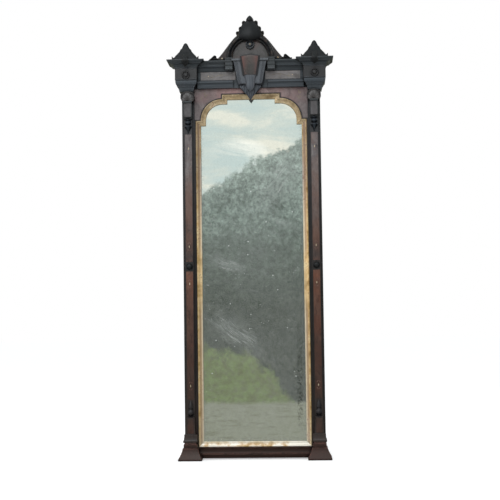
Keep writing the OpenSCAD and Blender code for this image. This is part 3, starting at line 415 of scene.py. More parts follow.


# Leaf gilding over red bole: gold where the leaf holds, bole and pale ground where it is rubbed. On the
# straight sides the three members of the section differ: a tan hollow, a bright outer edge and a pale lip,
# partly painted highlight
def gilding(t, g):
    place = t.objectPlace()
    broad = t.noise(place, g["broadScale"], 4.0, 0.6)
    small = t.noise(place, g["smallScale"], 5.0, 0.65)
    laps = t.noise(place, g["lapScale"], 2.0)
    gold = t.ramp(broad, [(0.32, g["deep"]), (0.5, g["gold"]), (0.68, g["bright"])])
    gold = t.mix(t.curve(laps, 0.5, 0.66, 0.0, 0.35), gold, g["bright"])
    x, _, z = t.parts(place)
    fromSight = t.most(t.minus(t.size(x), g["sight"]), t.minus(g["foot"], z))
    share = t.curve(fromSight, 0.0, g["section"])
    hollow = t.times(t.curve(share, 0.26, 0.30), t.curve(share, 0.64, 0.58))
    # Pale lip, below lipTop only: partly pale ground, partly painted highlight where the side catches the
    # light
    lip = t.times(t.curve(share, 0.28, 0.24), t.curve(z, g["lipTop"] + 0.1, g["lipTop"]))
    quiet = t.times(t.curve(z, *g["quietFoot"]), t.curve(z, *g["quietTop"]))
    members = t.times(t.curve(quiet, 0.0, 1.0, 1.0, 0.25), g["members"])
    gold = t.mix(t.times(hollow, members), gold, g["tan"])
    gold = t.mix(t.times(lip, members), gold, g["cream"])
    rubbed = t.curve(t.plus(small, t.times(broad, 0.6)), g["boleFrom"], g["boleTo"])
    rounded, edge = softEdge(t, g["round"])
    rubbed = t.times(t.most(rubbed, t.times(edge, t.curve(small, 0.50, 0.6))), g["boleShare"])
    colour = t.mix(rubbed, gold, g["bole"])
    low = t.times(t.curve(z, g["paleTop"], g["paleBottom"]), t.curve(broad, 0.40, 0.55), g["paleShare"])
    colour = t.mix(low, colour, g["pale"])
    colour = drift(t, colour, place, g["drift"])
    # Dark sides facing across the opening and dark lines along the edges: partly bare ungilded sides,
    # partly painted shade
    edgeOn = t.curve(t.size(t.parts(t.geometry("True Normal"))["Y"]), 0.20, 0.08, 0.0, g["edgeShare"])
    edgeOn = t.most(edgeOn, t.times(edge, g["lineShare"]))
    colour = t.mix(edgeOn, colour, g["edge"])
    metal = t.times(t.curve(rubbed, 0.0, 1.0, g["metal"], 0.0), t.minus(1.0, edgeOn))
    normal = bumped(t, t.plus(small, t.times(rubbed, -0.4)), *g["relief"], rounded)
    shade(t, colour, t.curve(small, 0.3, 0.7, 0.34, 0.55), normal, Metallic=metal)


# Old silvered plate: a slightly green mirror with a thin film, hair scratches that sweep across it in
# patches, white specks, and silvering gone ragged at the rim
def silverPlate(t, p):
    place = t.objectPlace()
    film = t.noise(place, p["filmScale"], 5.0, 0.6)
    haze = t.curve(film, 0.35, 0.70, p["film"] * 0.5, p["film"] * 1.5)
    clouding = t.noise(place, p["cloudScale"], 6.0, 0.7)
    haze = t.plus(haze, t.curve(clouding, 0.42, 0.66, 0.0, p["film"]))
    for x, z, wide, tall, turn, weight in p["scratches"]:
        local = t.vector("ADD", place, (-x, 0.0, -z))
        turned = t.add("ShaderNodeMapping", {"Vector": local, "Rotation": (0.0, turn, 0.0)}).outputs[0]
        lines = t.scaled(t.bend(turned, p["threadBend"], local, 4.0, 1.0), p["threads"])
        strokes = t.curve(t.noise(lines, 1.0, 3.0, 0.6), 0.54, 0.68)
        far = t.vector("LENGTH", t.scaled(turned, (1 / wide, 0.0, 1 / tall)))
        patch = t.curve(t.plus(far, t.noise(local, 16.0)), 1.4, 0.7, 0.0, weight)
        haze = t.plus(haze, t.times(t.plus(strokes, 0.18), patch))
    specks = 0.0
    for scale, size, keepFrom in p["specks"]:
        keep = t.curve(t.noise(place, 11.0, 2.0), keepFrom, keepFrom + 0.05)
        specks = t.most(specks, t.times(t.curve(t.eyes(place, scale), size, size * 0.5), keep))
    x, _, z = t.parts(place)
    side, foot = p["sight"], p["foot"]
    rim = t.most(t.curve(t.size(x), side - 0.020, side), t.curve(z, foot + 0.03, foot))
    ragged = t.times(rim, t.curve(t.noise(place, p["raggedScale"], 6.0, 0.7), 0.46, 0.62), p["raggedShare"])
    colour = t.mix(haze, p["silver"], p["dust"])
    colour = t.mix(ragged, colour, p["rim"])
    colour = t.mix(specks, colour, p["speck"])
    fox = t.times(t.curve(t.size(t.minus(x, p["foxAt"])), 0.020, 0.008),
                  t.times(t.curve(z, 0.14, 0.26), t.curve(z, 0.80, 0.50)),
                  t.curve(t.noise(place, p["foxScale"], 6.0, 0.75), 0.46, 0.58, 0.0, 0.65))
    colour = t.mix(fox, colour, p["rim"])
    dots = t.curve(t.noise(place, p["pepperScale"], 4.0, 0.8), 0.56, 0.62)
    where = t.curve(t.noise(place, 7.0, 4.0, 0.6), 0.46, 0.66, 0.15, 1.0)
    low = t.times(t.curve(z, 0.60, 0.25, 0.35, 1.0), p["pepper"])
    colour = t.mix(t.times(dots, where, low), colour, p["rim"])
    lost = t.most(haze, specks, ragged)
    metal = t.math("SUBTRACT", 1.0, lost, clamp=True)
    rough = t.curve(lost, 0.15, 1.0, 0.0, 0.5)
    normal = bumped(t, t.noise(place, 4.0, 0.0), *p["ripple"])
    shade(t, colour, rough, normal, Metallic=metal)


# Bare pine, browned with age, with soft and hard growth lines
def pine(t, p):
    place, fibre = grainSpace(t, p["along"], *p["grain"])
    rings = t.noise(fibre, 1.0, 3.0, 0.5, 0.6)
    fine = t.noise(fibre, 6.0, 3.0)
    stain = t.noise(place, 3.0, 4.0)
    wood = t.ramp(rings, [(0.35, p["light"]), (0.5, p["middle"]), (0.62, p["dark"])])
    wood = t.mix(t.curve(stain, 0.4, 0.7, 0.0, 0.6), wood, p["stain"])
    normal = bumped(t, t.plus(rings, fine), *p["relief"])
    shade(t, wood, t.curve(fine, 0.3, 0.7, 0.65, 0.85), normal)


# Forged iron, brown where it has rusted
def blackIron(t, m):
    rust = t.curve(t.noise(t.objectPlace(), m["rustScale"], 5.0, 0.65), 0.50, 0.62)
    colour = t.mix(rust, m["iron"], m["rust"])
    shade(t, colour, t.curve(rust, 0.0, 1.0, 0.42, 0.8), bumped(t, rust, *m["relief"]),
          Metallic=t.curve(rust, 0.0, 1.0, 0.9, 0.1))


sides = ("left", "right")


# Names of the nodes that come as a left and a right one
def both(*names):
    return [side + "_" + name for name in names for side in sides]


evenTone = [(0.0, grey(1.0)), (0.4, grey(1.0))]
topWood = {
    "along": "z", "grain": (150.0, 7.0),  # fibres per metre, across and along
    "dark": (0.020, 0.021, 0.022), "middle": (0.034, 0.036, 0.038), "light": (0.050, 0.051, 0.053),
    "patch": (0.042, 0.040, 0.040), "patchScale": 5.0,
    "bare": (0.11, 0.062, 0.042), "wear": 0.45, "wearFrom": 0.42, "wearScale": 38.0,
    "ridge": 0.0,                         # paler wood on carved ridges, by their curvature
    "round": 0.003,                       # metres
    "relief": (0.35, 0.0006),             # strength and metres
    # Near black tone, strength and reach of the painted shade with some grime in recesses and under things
    "shadeAndGrimeTone": (0.006, 0.006, 0.007), "shadeAndGrime": 0.9, "shadeAndGrimeReach": 0.022,
    "rough": 0.40, "polish": 0.12, "gloss": 0.5, "sheen": (0.86, 0.95, 1.0),
    # Painted sky sheen: lighter and bluer about the cornice, back to plain by 2.28 m, darker above
    "drift": [(1.6, grey(1.0)), (2.0, grey(1.0)), (2.12, (1.36, 1.55, 1.80)), (2.20, (1.30, 1.48, 1.68)),
              (2.28, (0.98, 1.10, 1.18)), (2.5, (0.80, 0.92, 1.0))],
}
shaftWood = {
    **topWood,
    "dark": (0.009, 0.0075, 0.0075), "middle": (0.017, 0.013, 0.013), "light": (0.030, 0.020, 0.018),
    "patch": (0.024, 0.016, 0.015), "shadeAndGrime": 0.35,
    # Warmer and lighter low down; lighter and bluer from 1.5 m, painted sky sheen
    "drift": [(0.1, (2.05, 1.65, 1.38)), (0.24, (1.9, 1.55, 1.3)), (0.5, (1.25, 1.05, 0.95)),
              (1.1, (1.3, 1.25, 1.2)), (1.5, (1.65, 1.78, 1.85)), (1.75, (1.85, 2.1, 2.3)),
              (2.1, (1.5, 1.8, 2.0))],
}
footWood = {
    **topWood,
    "dark": (0.009, 0.005, 0.004), "middle": (0.020, 0.011, 0.009), "light": (0.036, 0.018, 0.015),
    "patch": (0.036, 0.014, 0.011), "bare": (0.30, 0.13, 0.10), "wear": 0.9, "wearFrom": 0.34,
    "round": 0.005, "sheen": (1.0, 0.90, 0.86), "gloss": 0.4, "polish": 0.0,
    "drift": [(0.0, (1.45, 1.4, 1.4)), (0.1, (1.6, 1.5, 1.45))],
}
carvedWood = {
    **topWood,
    "dark": (0.005, 0.006, 0.007), "middle": (0.009, 0.010, 0.012), "light": (0.015, 0.016, 0.017),
    "patch": (0.012, 0.012, 0.012), "bare": (0.15, 0.13, 0.10), "wear": 0.7, "wearFrom": 0.44,
    "ridge": 1.0, "gloss": 0.25, "polish": 0.0, "rough": 0.42, "sheen": (0.94, 0.97, 1.0),
    # Warmer and lighter low down; lighter and bluer about 1.8 to 2.0 m, painted sky sheen
    "drift": [(0.2, (2.6, 1.9, 1.75)), (0.5, (1.9, 1.5, 1.4)), (1.0, grey(1.0)), (1.5, grey(1.0)),
              (1.8, (2.4, 2.8, 3.2)), (2.0, (2.4, 2.8, 3.2)), (2.15, grey(1.0))],
}
turnedWood = {**carvedWood, "gloss": 0.4, "bare": (0.11, 0.07, 0.05)}
panelBurl = {
    "dark": (0.050, 0.032, 0.030), "middle": (0.100, 0.068, 0.064), "light": (0.150, 0.110, 0.100),
    "red": (0.145, 0.066, 0.056), "redShare": 0.5,
    "swirl": 14.0, "bend": 0.07, "stretch": (1.5, 1.5, 0.7),
    "figure": 22.0, "eyes": 95.0, "clusters": 9.0, "clouds": 7.0,  # scales
    "rough": 0.36, "gloss": 0.45, "coat": 0.3, "round": 0.0015, "relief": (0.25, 0.0004),
    "drift": evenTone,                    # with height
    "flank": evenTone,                    # with the distance from the middle
}
gold = {
    "deep": (0.46, 0.28, 0.10), "gold": (0.78, 0.54, 0.25), "bright": (0.95, 0.76, 0.42),
    "bole": (0.30, 0.13, 0.075), "boleFrom": 0.90, "boleTo": 1.00, "boleShare": 0.75, "metal": 0.45,
    "pale": (0.93, 0.85, 0.74), "paleTop": 0.30, "paleBottom": 0.08, "paleShare": 0.25,
    "tan": (0.50, 0.34, 0.215), "cream": (0.80, 0.70, 0.54), "members": 0.85,
    "broadScale": 16.0, "smallScale": 120.0, "lapScale": 46.0, "relief": (0.3, 0.0007),
    "sight": 0.289, "foot": 0.097, "section": 0.030, "lipTop": 1.65,  # metres
    "quietFoot": (0.80, 0.92), "quietTop": (1.20, 1.12),  # heights between which the members hardly differ
    # Dark colour and shares for the sides and the edge lines, partly painted shade
    "edge": (0.035, 0.028, 0.022), "edgeShare": 0.85, "round": 0.002, "lineShare": 0.0,
    # Painted light and shade: brighter about 1.1 to 1.3 m, duller and darker from 1.6 m up
    "drift": [(0.85, grey(1.0)), (1.12, (1.16, 1.15, 1.14)), (1.30, (1.10, 1.09, 1.09)),
              (1.60, (0.66, 0.64, 0.72)), (1.98, (0.60, 0.60, 0.70))],
}
flatGold = {**gold, "members": 0.0, "drift": evenTone}
markGold = {**flatGold, "paleShare": 0.0, "edgeShare": 0.0}
plate = {
    "silver": (0.86, 0.895, 0.87), "dust": (0.42, 0.45, 0.42), "rim": (0.14, 0.145, 0.13),
    "speck": (0.78, 0.82, 0.78), "film": 0.05, "filmScale": 3.0, "cloudScale": 42.0,
    "threads": (9.0, 9.0, 320.0), "threadBend": 0.05, "ripple": (0.02, 0.003),
    # across, height, half width, half height, turn and weight
    "scratches": [(-0.15, 1.10, 0.17, 0.05, -0.38, 0.45), (-0.10, 0.70, 0.26, 0.09, -0.62, 0.45),
                  (0.17, 1.33, 0.10, 0.03, -0.35, 0.35), (0.15, 1.56, 0.28, 0.14, 0.95, 0.30),
                  (-0.05, 1.15, 0.45, 0.40, -0.30, 0.10), (0.05, 0.55, 0.40, 0.30, -0.75, 0.12)],
    "specks": [(24.0, 0.08, 0.50), (60.0, 0.10, 0.54)],  # scale, size, share kept from
    "raggedShare": 0.35, "raggedScale": 70.0, "pepper": 0.40, "pepperScale": 150.0, "foxScale": 60.0,
    "foxAt": 0.256, "sight": 0.289, "foot": 0.097,  # metres
}
pineTone = {
    "along": "z", "grain": (60.0, 2.0), "relief": (0.4, 0.0006),
    "light": (0.40, 0.25, 0.13), "middle": (0.32, 0.185, 0.088), "dark": (0.21, 0.105, 0.045),
    "stain": (0.15, 0.085, 0.045),
}
ironTone = {"iron": (0.045, 0.045, 0.048), "rust": (0.11, 0.05, 0.025), "rustScale": 90.0,
            "relief": (0.4, 0.0004)}

# Every material: its recipe, its base, what it changes there, and the nodes that take it
recipes = {
    "walnutAcross": (walnut, topWood, {"along": "x"}, [
        "top_rail", "frieze_board", "architrave", "cornice", "cornice_scrolls", *both("cap")]),
    "walnutUpright": (walnut, topWood, {}, both("neck", "console")),
    "walnutShaft": (walnut, shaftWood, {}, ["outer_bead", *both("stile", "pilaster", "pedestal")]),
    "walnutCarved": (walnut, carvedWood, {}, []),
    "walnutTurned": (walnut, turnedWood, {}, ["leaf_cap", *both("finial", "turning", "boss", "drop")]),
    # Arch: lighter and bluer, fading towards the top, painted sky sheen
    "walnutArch": (walnut, turnedWood, {"gloss": 0.6, "shadeAndGrime": 0.6, "drift": [(2.0, (1.45, 1.85, 2.10))]}, [
        "arch_moulding"]),
    "walnutBlock": (walnut, topWood, {
        "dark": (0.014, 0.0125, 0.0125), "middle": (0.024, 0.0215, 0.0215), "light": (0.038, 0.033, 0.033),
        "patch": (0.030, 0.026, 0.026), "sheen": (0.95, 0.97, 1.0),
        "drift": [(2.0, (0.80, 0.82, 0.90)), (2.3, (0.76, 0.79, 0.88))]}, [
        "corner_roundels", *both("block")]),
    "walnutCapital": (walnut, topWood, {
        "dark": (0.034, 0.031, 0.031), "middle": (0.056, 0.051, 0.050), "light": (0.082, 0.075, 0.073),
        "patch": (0.068, 0.060, 0.058), "sheen": (0.95, 0.97, 1.0), "drift": evenTone}, both("capital")),
    "walnutBreak": (walnut, topWood, {"along": "x", "drift": [(2.0, (0.80, 0.90, 1.0))]}, []),
    "walnutPale": (walnut, topWood, {
        "dark": (0.030, 0.030, 0.031), "middle": (0.058, 0.056, 0.057), "light": (0.088, 0.085, 0.085),
        "patch": (0.068, 0.063, 0.063), "shadeAndGrime": 0.65,
        # Painted sky sheen: lighter and bluer from 2.12 m, plainer at the top
        "drift": [(2.12, (1.24, 1.40, 1.64)), (2.20, (1.44, 1.62, 1.82)), (2.32, (1.50, 1.66, 1.80)),
                  (2.40, (0.90, 1.02, 1.10))]}, ["keystone", "pendant", "crest_roundel"]),
    "walnutFoot": (walnut, footWood, {}, both("plinth")),
    "walnutRail": (walnut, footWood, {
        "along": "x", "wear": 0.5, "drift": [(0.1, (0.85, 0.60, 0.52))], "sheen": (1.0, 0.84, 0.78)}, [
        "bottom_rail", "bottom_moulding"]),
    "burlShaft": (burl, panelBurl, {
        "stretch": (2.4, 2.4, 0.45), "red": (0.165, 0.080, 0.055),
        # Warmer and redder low down, lighter and bluer from 1.7 m as painted sky sheen
        "drift": [(0.15, (0.52, 0.30, 0.22)), (0.24, (0.34, 0.22, 0.17)), (0.62, (0.55, 0.32, 0.22)),
                  (0.98, (1.08, 0.66, 0.44)), (1.08, (1.25, 0.78, 0.54)), (1.14, (0.50, 0.47, 0.46)),
                  (1.24, (0.85, 0.72, 0.62)), (1.46, (1.05, 1.08, 1.06)), (1.70, (1.25, 1.55, 1.68)),
                  (1.90, (1.10, 1.30, 1.40))]}, ["pedestal_panels", *both("shaft_panels")]),
    "burlConsole": (burl, panelBurl, {
        "dark": (0.040, 0.035, 0.037), "middle": (0.068, 0.061, 0.065), "light": (0.092, 0.085, 0.090),
        "redShare": 0.1}, ["console_panels"]),
    "burlFrieze": (burl, panelBurl, {
        "dark": (0.085, 0.075, 0.075), "middle": (0.150, 0.140, 0.140), "light": (0.215, 0.200, 0.198),
        "redShare": 0.12, "stretch": (0.7, 1.5, 1.6)}, ["frieze_panels"]),
    "burlSpandrel": (burl, panelBurl, {
        "dark": (0.085, 0.062, 0.062), "middle": (0.182, 0.136, 0.132), "light": (0.245, 0.196, 0.190),
        "red": (0.225, 0.118, 0.115), "figure": 18.0,
        "flank": [(0.15, (1.52, 1.34, 1.30)), (0.22, grey(1.0)), (0.31, (0.84, 0.90, 0.92))]}, [
        "spandrel_panel"]),
    "burlCrest": (burl, panelBurl, {
        "dark": (0.026, 0.024, 0.024), "middle": (0.048, 0.043, 0.044), "light": (0.075, 0.068, 0.070),
        "red": (0.120, 0.058, 0.050), "redShare": 0.45}, ["tympanum_panel"]),
    "burlBoard": (burl, panelBurl, {
        "dark": (0.018, 0.016, 0.016), "middle": (0.032, 0.028, 0.029), "light": (0.050, 0.044, 0.046),
        "red": (0.085, 0.044, 0.040), "gloss": 0.3, "coat": 0.1,
        "flank": [(0.12, grey(0.9)), (0.17, (1.0, 0.78, 0.70))]}, ["crest_board"]),
    "burlShield": (burl, panelBurl, {
        "dark": (0.030, 0.024, 0.023), "middle": (0.056, 0.046, 0.046), "light": (0.074, 0.060, 0.062),
        "red": (0.105, 0.052, 0.046), "redShare": 0.4,
        "flank": [(0.008, (0.80, 0.92, 0.88)), (0.022, (0.95, 0.92, 0.88)), (0.038, (1.40, 0.95, 0.86))]}, [
        "shield_panel"]),
    "gilt": (gilding, gold, {}, ["liner_left", "liner_right"]),
    "giltFoot": (gilding, gold, {
        "pale": (0.98, 0.92, 0.82), "gold": (0.86, 0.62, 0.36), "paleBottom": 0.12, "paleShare": 0.95,
        "members": 0.5}, ["liner_bottom"]),
    "giltHead": (gilding, flatGold, {
        "deep": (0.265, 0.18, 0.092), "gold": (0.525, 0.395, 0.225), "bright": (0.78, 0.64, 0.42),
        "boleFrom": 0.85, "round": 0.005, "lineShare": 0.8}, ["liner_head"]),
    "giltWorn": (gilding, markGold, {
        "deep": (0.30, 0.20, 0.10), "gold": (0.55, 0.43, 0.27), "bright": (0.78, 0.70, 0.56),
        "bole": (0.16, 0.09, 0.06), "boleFrom": 0.84, "boleShare": 0.6, "metal": 0.3}, []),
    "giltBrown": (gilding, markGold, {
        "deep": (0.10, 0.045, 0.034), "gold": (0.17, 0.082, 0.062), "bright": (0.27, 0.16, 0.125),
        "metal": 0.1}, []),
    "giltMuted": (gilding, markGold, {
        "deep": (0.10, 0.085, 0.055), "gold": (0.20, 0.165, 0.095), "bright": (0.30, 0.26, 0.17),
        "bole": (0.12, 0.07, 0.05), "boleFrom": 0.80, "boleShare": 0.8, "metal": 0.2}, []),
    "silver": (silverPlate, plate, {}, ["mirror_glass"]),
    "pineUpright": (pine, pineTone, {}, ["backboards", "crest_cleats"]),
    "pineAcross": (pine, pineTone, {"along": "x"}, ["back_battens", "glazing_blocks"]),
    "iron": (blackIron, ironTone, {}, ["back_screws", "wall_plates"]),
}
materials = {}
for name, (recipe, base, changes, nodes) in recipes.items():
    materials[name] = bpy.data.materials.new(name)
    recipe(Tree(materials[name]), {**base, **changes})
    for node in nodes:
        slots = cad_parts[node].data.materials
        slots.clear()
        slots.append(materials[name])
print("stage: materials on the CAD nodes")

# Carved pieces. Each is one or more closed skins worked out on grids; x runs across, z up, and the
# depth of a point is given as its distance from the wall. Sizes are in millimetres until they are placed
wallY = cadHigh.y
mm = 0.001
outwards = (0, -1, 0)
sideways = (1, 0, 0)
upwards = (0, 0, 1)


def place(x, depth, z):
    x, depth, z = np.broadcast_arrays(x, depth, z)
    return np.stack([x * mm, wallY - depth * mm, z * mm], axis=-1).astype(float)


# Box of a node in millimetres: across, depth and height, each as low and high
def span(node):
    low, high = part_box(node)
    depth = ((wallY - high.y) / mm, (wallY - low.y) / mm)
    return (low.x / mm, high.x / mm), depth, (low.z / mm, high.z / mm)


def blend(start, end, share):
    return start + (end - start) * share


def unit(v):
    return v / np.maximum(np.linalg.norm(v, axis=-1, keepdims=True), 1e-12)


# Evenly spaced values as a column or a row of a grid, and round a full turn as a row
def column(low, high, count):
    return np.linspace(low, high, count)[:, None]


def row(low, high, count):
    return np.linspace(low, high, count)[None, :]


def fullTurn(count):
    return np.linspace(0, 2 * math.pi, count, endpoint=False)[None, :]


# Smooth curve through a few points: the usual cubic between neighbours, with the ends carried on
def smoothPath(points, count):
    p = np.asarray(points, float)
    p = np.concatenate([2 * p[:1] - p[1:2], p, 2 * p[-1:] - p[-2:-1]])
    along = np.linspace(0, len(p) - 3 - 1e-9, count)
    i = along.astype(int)
    t = (along - i).reshape(-1, *[1] * (p.ndim - 1))
    a, b, c, d = p[i], p[i + 1], p[i + 2], p[i + 3]
    square, cube = 2 * a - 5 * b + 4 * c - d, 3 * b - a - 3 * c + d
    return 0.5 * (2 * b + (c - a) * t + square * t ** 2 + cube * t ** 3)


# Spiral that closes on its eye: the radius shrinks evenly while the angle turns
def spiral(centre, radius, start, turns, close=0.3, count=40):
    s = np.linspace(0, 1, count)
    angle = math.radians(start) + 2 * math.pi * turns * s
    shrunk = radius * (1 - (1 - close) * s)
    return np.stack([centre[0] + shrunk * np.cos(angle), centre[1] + shrunk * np.sin(angle)], -1)


# Quads of a grid, closed round its columns if wrapped
def gridFaces(rows, cols, wrap=False, start=0, flip=False):
    r = np.arange(rows - 1)[:, None]
    c = np.arange(cols if wrap else cols - 1)[None, :]
    n = (c + 1) % cols
    below = (r + 1) * cols
    quads = np.stack([r * cols + c, r * cols + n, below + n, below + c], -1).reshape(-1, 4)
    return (quads[:, ::-1] if flip else quads) + start


# A piece of carving: skins are added one by one, then become one mesh with its normals outward
class Carving:
    def __init__(self, name):
        self.name = name
        self.points = []
        self.faces = []
        self.count = 0

    def add(self, points, faces):
        points = points.reshape(-1, 3)
        self.points.append(points)
        self.faces.append(faces + self.count)
        self.count += len(points)

    # Grid of points across and up, once at the front depth and once at the back, joined round the border
    def addSlab(self, across, height, front, back):
        self.addPlate(place(across, front, height), place(across, back, height))

    # Front grid and back grid of the same shape, joined round their border
    def addPlate(self, front, back):
        rows, cols = front.shape[:2]
        n = rows * cols
        border = np.concatenate([np.arange(cols), np.arange(1, rows) * cols + cols - 1,
                                 (rows - 1) * cols + np.arange(cols - 2, -1, -1),
                                 np.arange(rows - 2, 0, -1) * cols])
        following = np.roll(border, -1)
        walls = np.stack([border, border + n, following + n, following], -1)
        faces = np.concatenate([gridFaces(rows, cols, flip=True), gridFaces(rows, cols, start=n), walls])
        self.add(np.concatenate([front.reshape(-1, 3), back.reshape(-1, 3)]), faces)

    # Rings of a closed section, one after another; the ends are drawn to a point, or meet if looped
    def addRings(self, rings, looped=False):
        if looped:
            rings = np.concatenate([rings, rings[:1]])
        else:
            ends = np.repeat(rings.mean(axis=1, keepdims=True), rings.shape[1], axis=1)
            rings = np.concatenate([ends[:1], rings, ends[-1:]])
        self.add(rings, gridFaces(rings.shape[0], rings.shape[1], wrap=True))

    def finish(self, material, nodes=(), angle=38):
        mesh = bpy.data.meshes.new(self.name)
        mesh.from_pydata(np.concatenate(self.points).tolist(), [], np.concatenate(self.faces).tolist())
        work = bmesh.new()
        work.from_mesh(mesh)
        bmesh.ops.remove_doubles(work, verts=work.verts, dist=1e-6)
        bmesh.ops.dissolve_degenerate(work, edges=work.edges, dist=1e-7)
        bmesh.ops.recalc_face_normals(work, faces=work.faces)
        work.to_mesh(mesh)
        work.free()
        mesh.shade_smooth()
        mesh.set_sharp_from_angle(angle=math.radians(angle))
        mesh.materials.append(materials[material])
        obj = bpy.data.objects.new(self.name, mesh)
        bpy.context.scene.collection.objects.link(obj)
        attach(obj, "root")
        if nodes:
            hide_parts(*nodes)

    # Leaf: a spine in space, swept by a width that rises and falls. Across it the surface is an arch
    # with a raised midrib and shallow flutes, its edge is scalloped, and its back is the same, set in
    def leaf(self, spine, side, halfWidth, shape, count=40, across=25):
        spine = smoothPath(spine, count)
        width = smoothPath(halfWidth, count)[:, None].clip(0.01) * mm
        side = unit(np.broadcast_to(np.asarray(side, float), spine.shape))
        out = unit(np.cross(side, np.gradient(spine, axis=0)))
        out = out if out[:, 1].mean() < 0 else -out
        v, u = column(0, 1, count), row(-1, 1, across)
        lobe = 0.5 + 0.5 * np.cos(2 * math.pi * shape["lobes"] * v)
        reach = width * (1 - shape["notch"] * lobe * np.abs(u)) * u
        rib = shape["rib"] * np.exp(-(u / shape["ribWidth"]) ** 2)
        veins = np.cos(math.pi * (shape["flutes"] * np.abs(u) - 1.3 * shape["lobes"] * v))
        flute = shape["flute"] * veins * np.sin(math.pi * np.abs(u)) ** 0.7
        lift = width * (shape["arch"] * (1 - u ** 2) + rib + flute)
        front = spine[:, None] + side[:, None] * reach[..., None] + out[:, None] * lift[..., None]
        thick = np.minimum(shape["thick"] * mm, width) * np.ones_like(u)
        self.addPlate(front, front - out[:, None] * thick[..., None])

    # Rope on a front face: a path across and up, with a half round section that stands on depth seat
    def rope(self, path, halfWidth, rise, seat, looped=False, section=10):
        path = np.asarray(path, float)
        if looped:
            along = np.roll(path, -1, axis=0) - np.roll(path, 1, axis=0)
        else:
            along = np.gradient(path, axis=0)
        normal = unit(np.stack([along[:, 1], -along[:, 0]], -1))
        angle = np.linspace(0, math.pi, section)
        half, high, foot = (np.broadcast_to(v, len(path))[:, None] for v in (halfWidth, rise, seat))
        aside = np.concatenate([np.cos(angle), [-1.0, 1.0]])[None, :] * half
        proud = np.concatenate([np.sin(angle), [0.0, 0.0]])[None, :] * high
        sunk = np.concatenate([np.zeros(section), [1.0, 1.0]])[None, :]
        x = path[:, :1] + normal[:, :1] * aside
        z = path[:, 1:] + normal[:, 1:] * aside
        self.addRings(place(x, foot + proud - sunk, z), looped)

    # Volute: a rope that winds in along a spiral and thins, with a round eye at its heart
    def volute(self, centre, radius, start, turns, seat, width, rise):
        path = spiral(centre, radius - width, start, turns)
        taper = np.linspace(1.0, 0.5, len(path)) * np.minimum(1, np.linspace(0.1, 6, len(path)))
        self.rope(path, width * taper, rise * taper, seat)
        eye = [(0.24 * radius, -1), (0.24 * radius, 0.3 * rise), (0.16 * radius, 0.8 * rise), (0.1, rise)]
        self.bead((centre[0], seat, centre[1]), outwards, eye)

    # Turned bead: rings round an axis from a profile of radius and height, with gadroons cut round it
    def bead(self, centre, axis, profile, ribs=0, ribDepth=0.0, count=32, smooth=20):
        profile = smoothPath(profile, smooth) * mm
        axis = unit(np.asarray(axis, float))
        first = unit(np.cross(axis, (0.3, 1.0, 0.2) if abs(axis[1]) < 0.9 else (0.0, 0.0, 1.0)))
        second = np.cross(axis, first)
        turn = fullTurn(count)
        radius = profile[:, :1] * (1 - ribDepth * (0.5 + 0.5 * np.cos(ribs * turn)))
        rings = (place(*centre) + axis * profile[:, 1:, None]
                 + (first * np.cos(turn)[..., None] + second * np.sin(turn)[..., None]) * radius[..., None])
        self.addRings(rings)


# Leaf shape that the others start from. All but the counts and the thickness are shares of the half width
plainLeaf = {
    "notch": 0.0, "lobes": 1,                        # scallops of the edge
    "rib": 0.0, "ribWidth": 0.1,
    "flutes": 1, "flute": 0.0,
    "arch": 0.3, "thick": 6,
}

# Crest leaf: a pointed bud, three curls down each side, and a broad smooth leaf drooping over the arch
crestLeaf = {
    "bud": [(0.4, 0), (7, -4), (14.5, -12), (20.5, -22), (22.4, -29), (19, -36), (10, -41), (0.5, -43)],
    "budDepth": 46, "budRibs": 6, "budRibDepth": 0.12,
    "outline": [(14, -26), (22, -34), (40, -48), (51, -66), (61, -84), (69, -98), (74, -112), (76, -122)],
    "bulge": 10,
    "hoodPath": [(48, -30), (56, -44), (64, -72), (68, -100), (69, -124), (70, -142), (68, -153)],
    "hoodWidth": [10, 25, 46, 62, 68, 56, 24],
    "hoodShape": {**plainLeaf, "arch": 0.27, "rib": 0.02, "ribWidth": 0.30, "thick": 7},
    # across, below, radius and start
    "curls": [(34, -43, 13.0, 150), (52, -77, 13.5, 130), (72, -101, 9.5, 90)],
    "curlTurns": 1.3, "curlThread": 0.30, "curlSeat": 52, "curlRise": 7,
    "hub": 0.9,                                      # share of the curl's radius
}


def makeCrestLeaf(c):
    _, (back, _), (_, top) = span("leaf_cap")
    piece = Carving("leafCap")
    piece.bead((0, c["budDepth"], top), upwards, c["bud"], ribs=c["budRibs"], ribDepth=c["budRibDepth"])
    edge = smoothPath(c["outline"], 40)
    u = row(-1, 1, 33)
    height = top + edge[:, 1:] * np.ones_like(u)
    depth = c["curlSeat"] + c["bulge"] * np.sqrt(1 - u ** 2) * np.ones((len(edge), 1))
    piece.addSlab(edge[:, :1] * u, height, depth, back)
    depth, below = np.array(c["hoodPath"], float).T
    piece.leaf(place(0.0, depth, top + below), sideways, c["hoodWidth"], c["hoodShape"], 44, 41)
    for across, below, radius, start in c["curls"]:
        for way in (-1, 1):
            piece.volute((across * way, top + below), radius, 90 + (start - 90) * way, c["curlTurns"] * way,
                         c["curlSeat"], radius * c["curlThread"], c["curlRise"])
            hub, reach = radius * c["hub"], c["curlSeat"] - back
            piece.bead((across * way, back, top + below), outwards,
                       [(hub, 0), (hub, reach), (0.5, reach + 2)])
    piece.finish("walnutCarved", ["leaf_cap"])


makeCrestLeaf(crestLeaf)

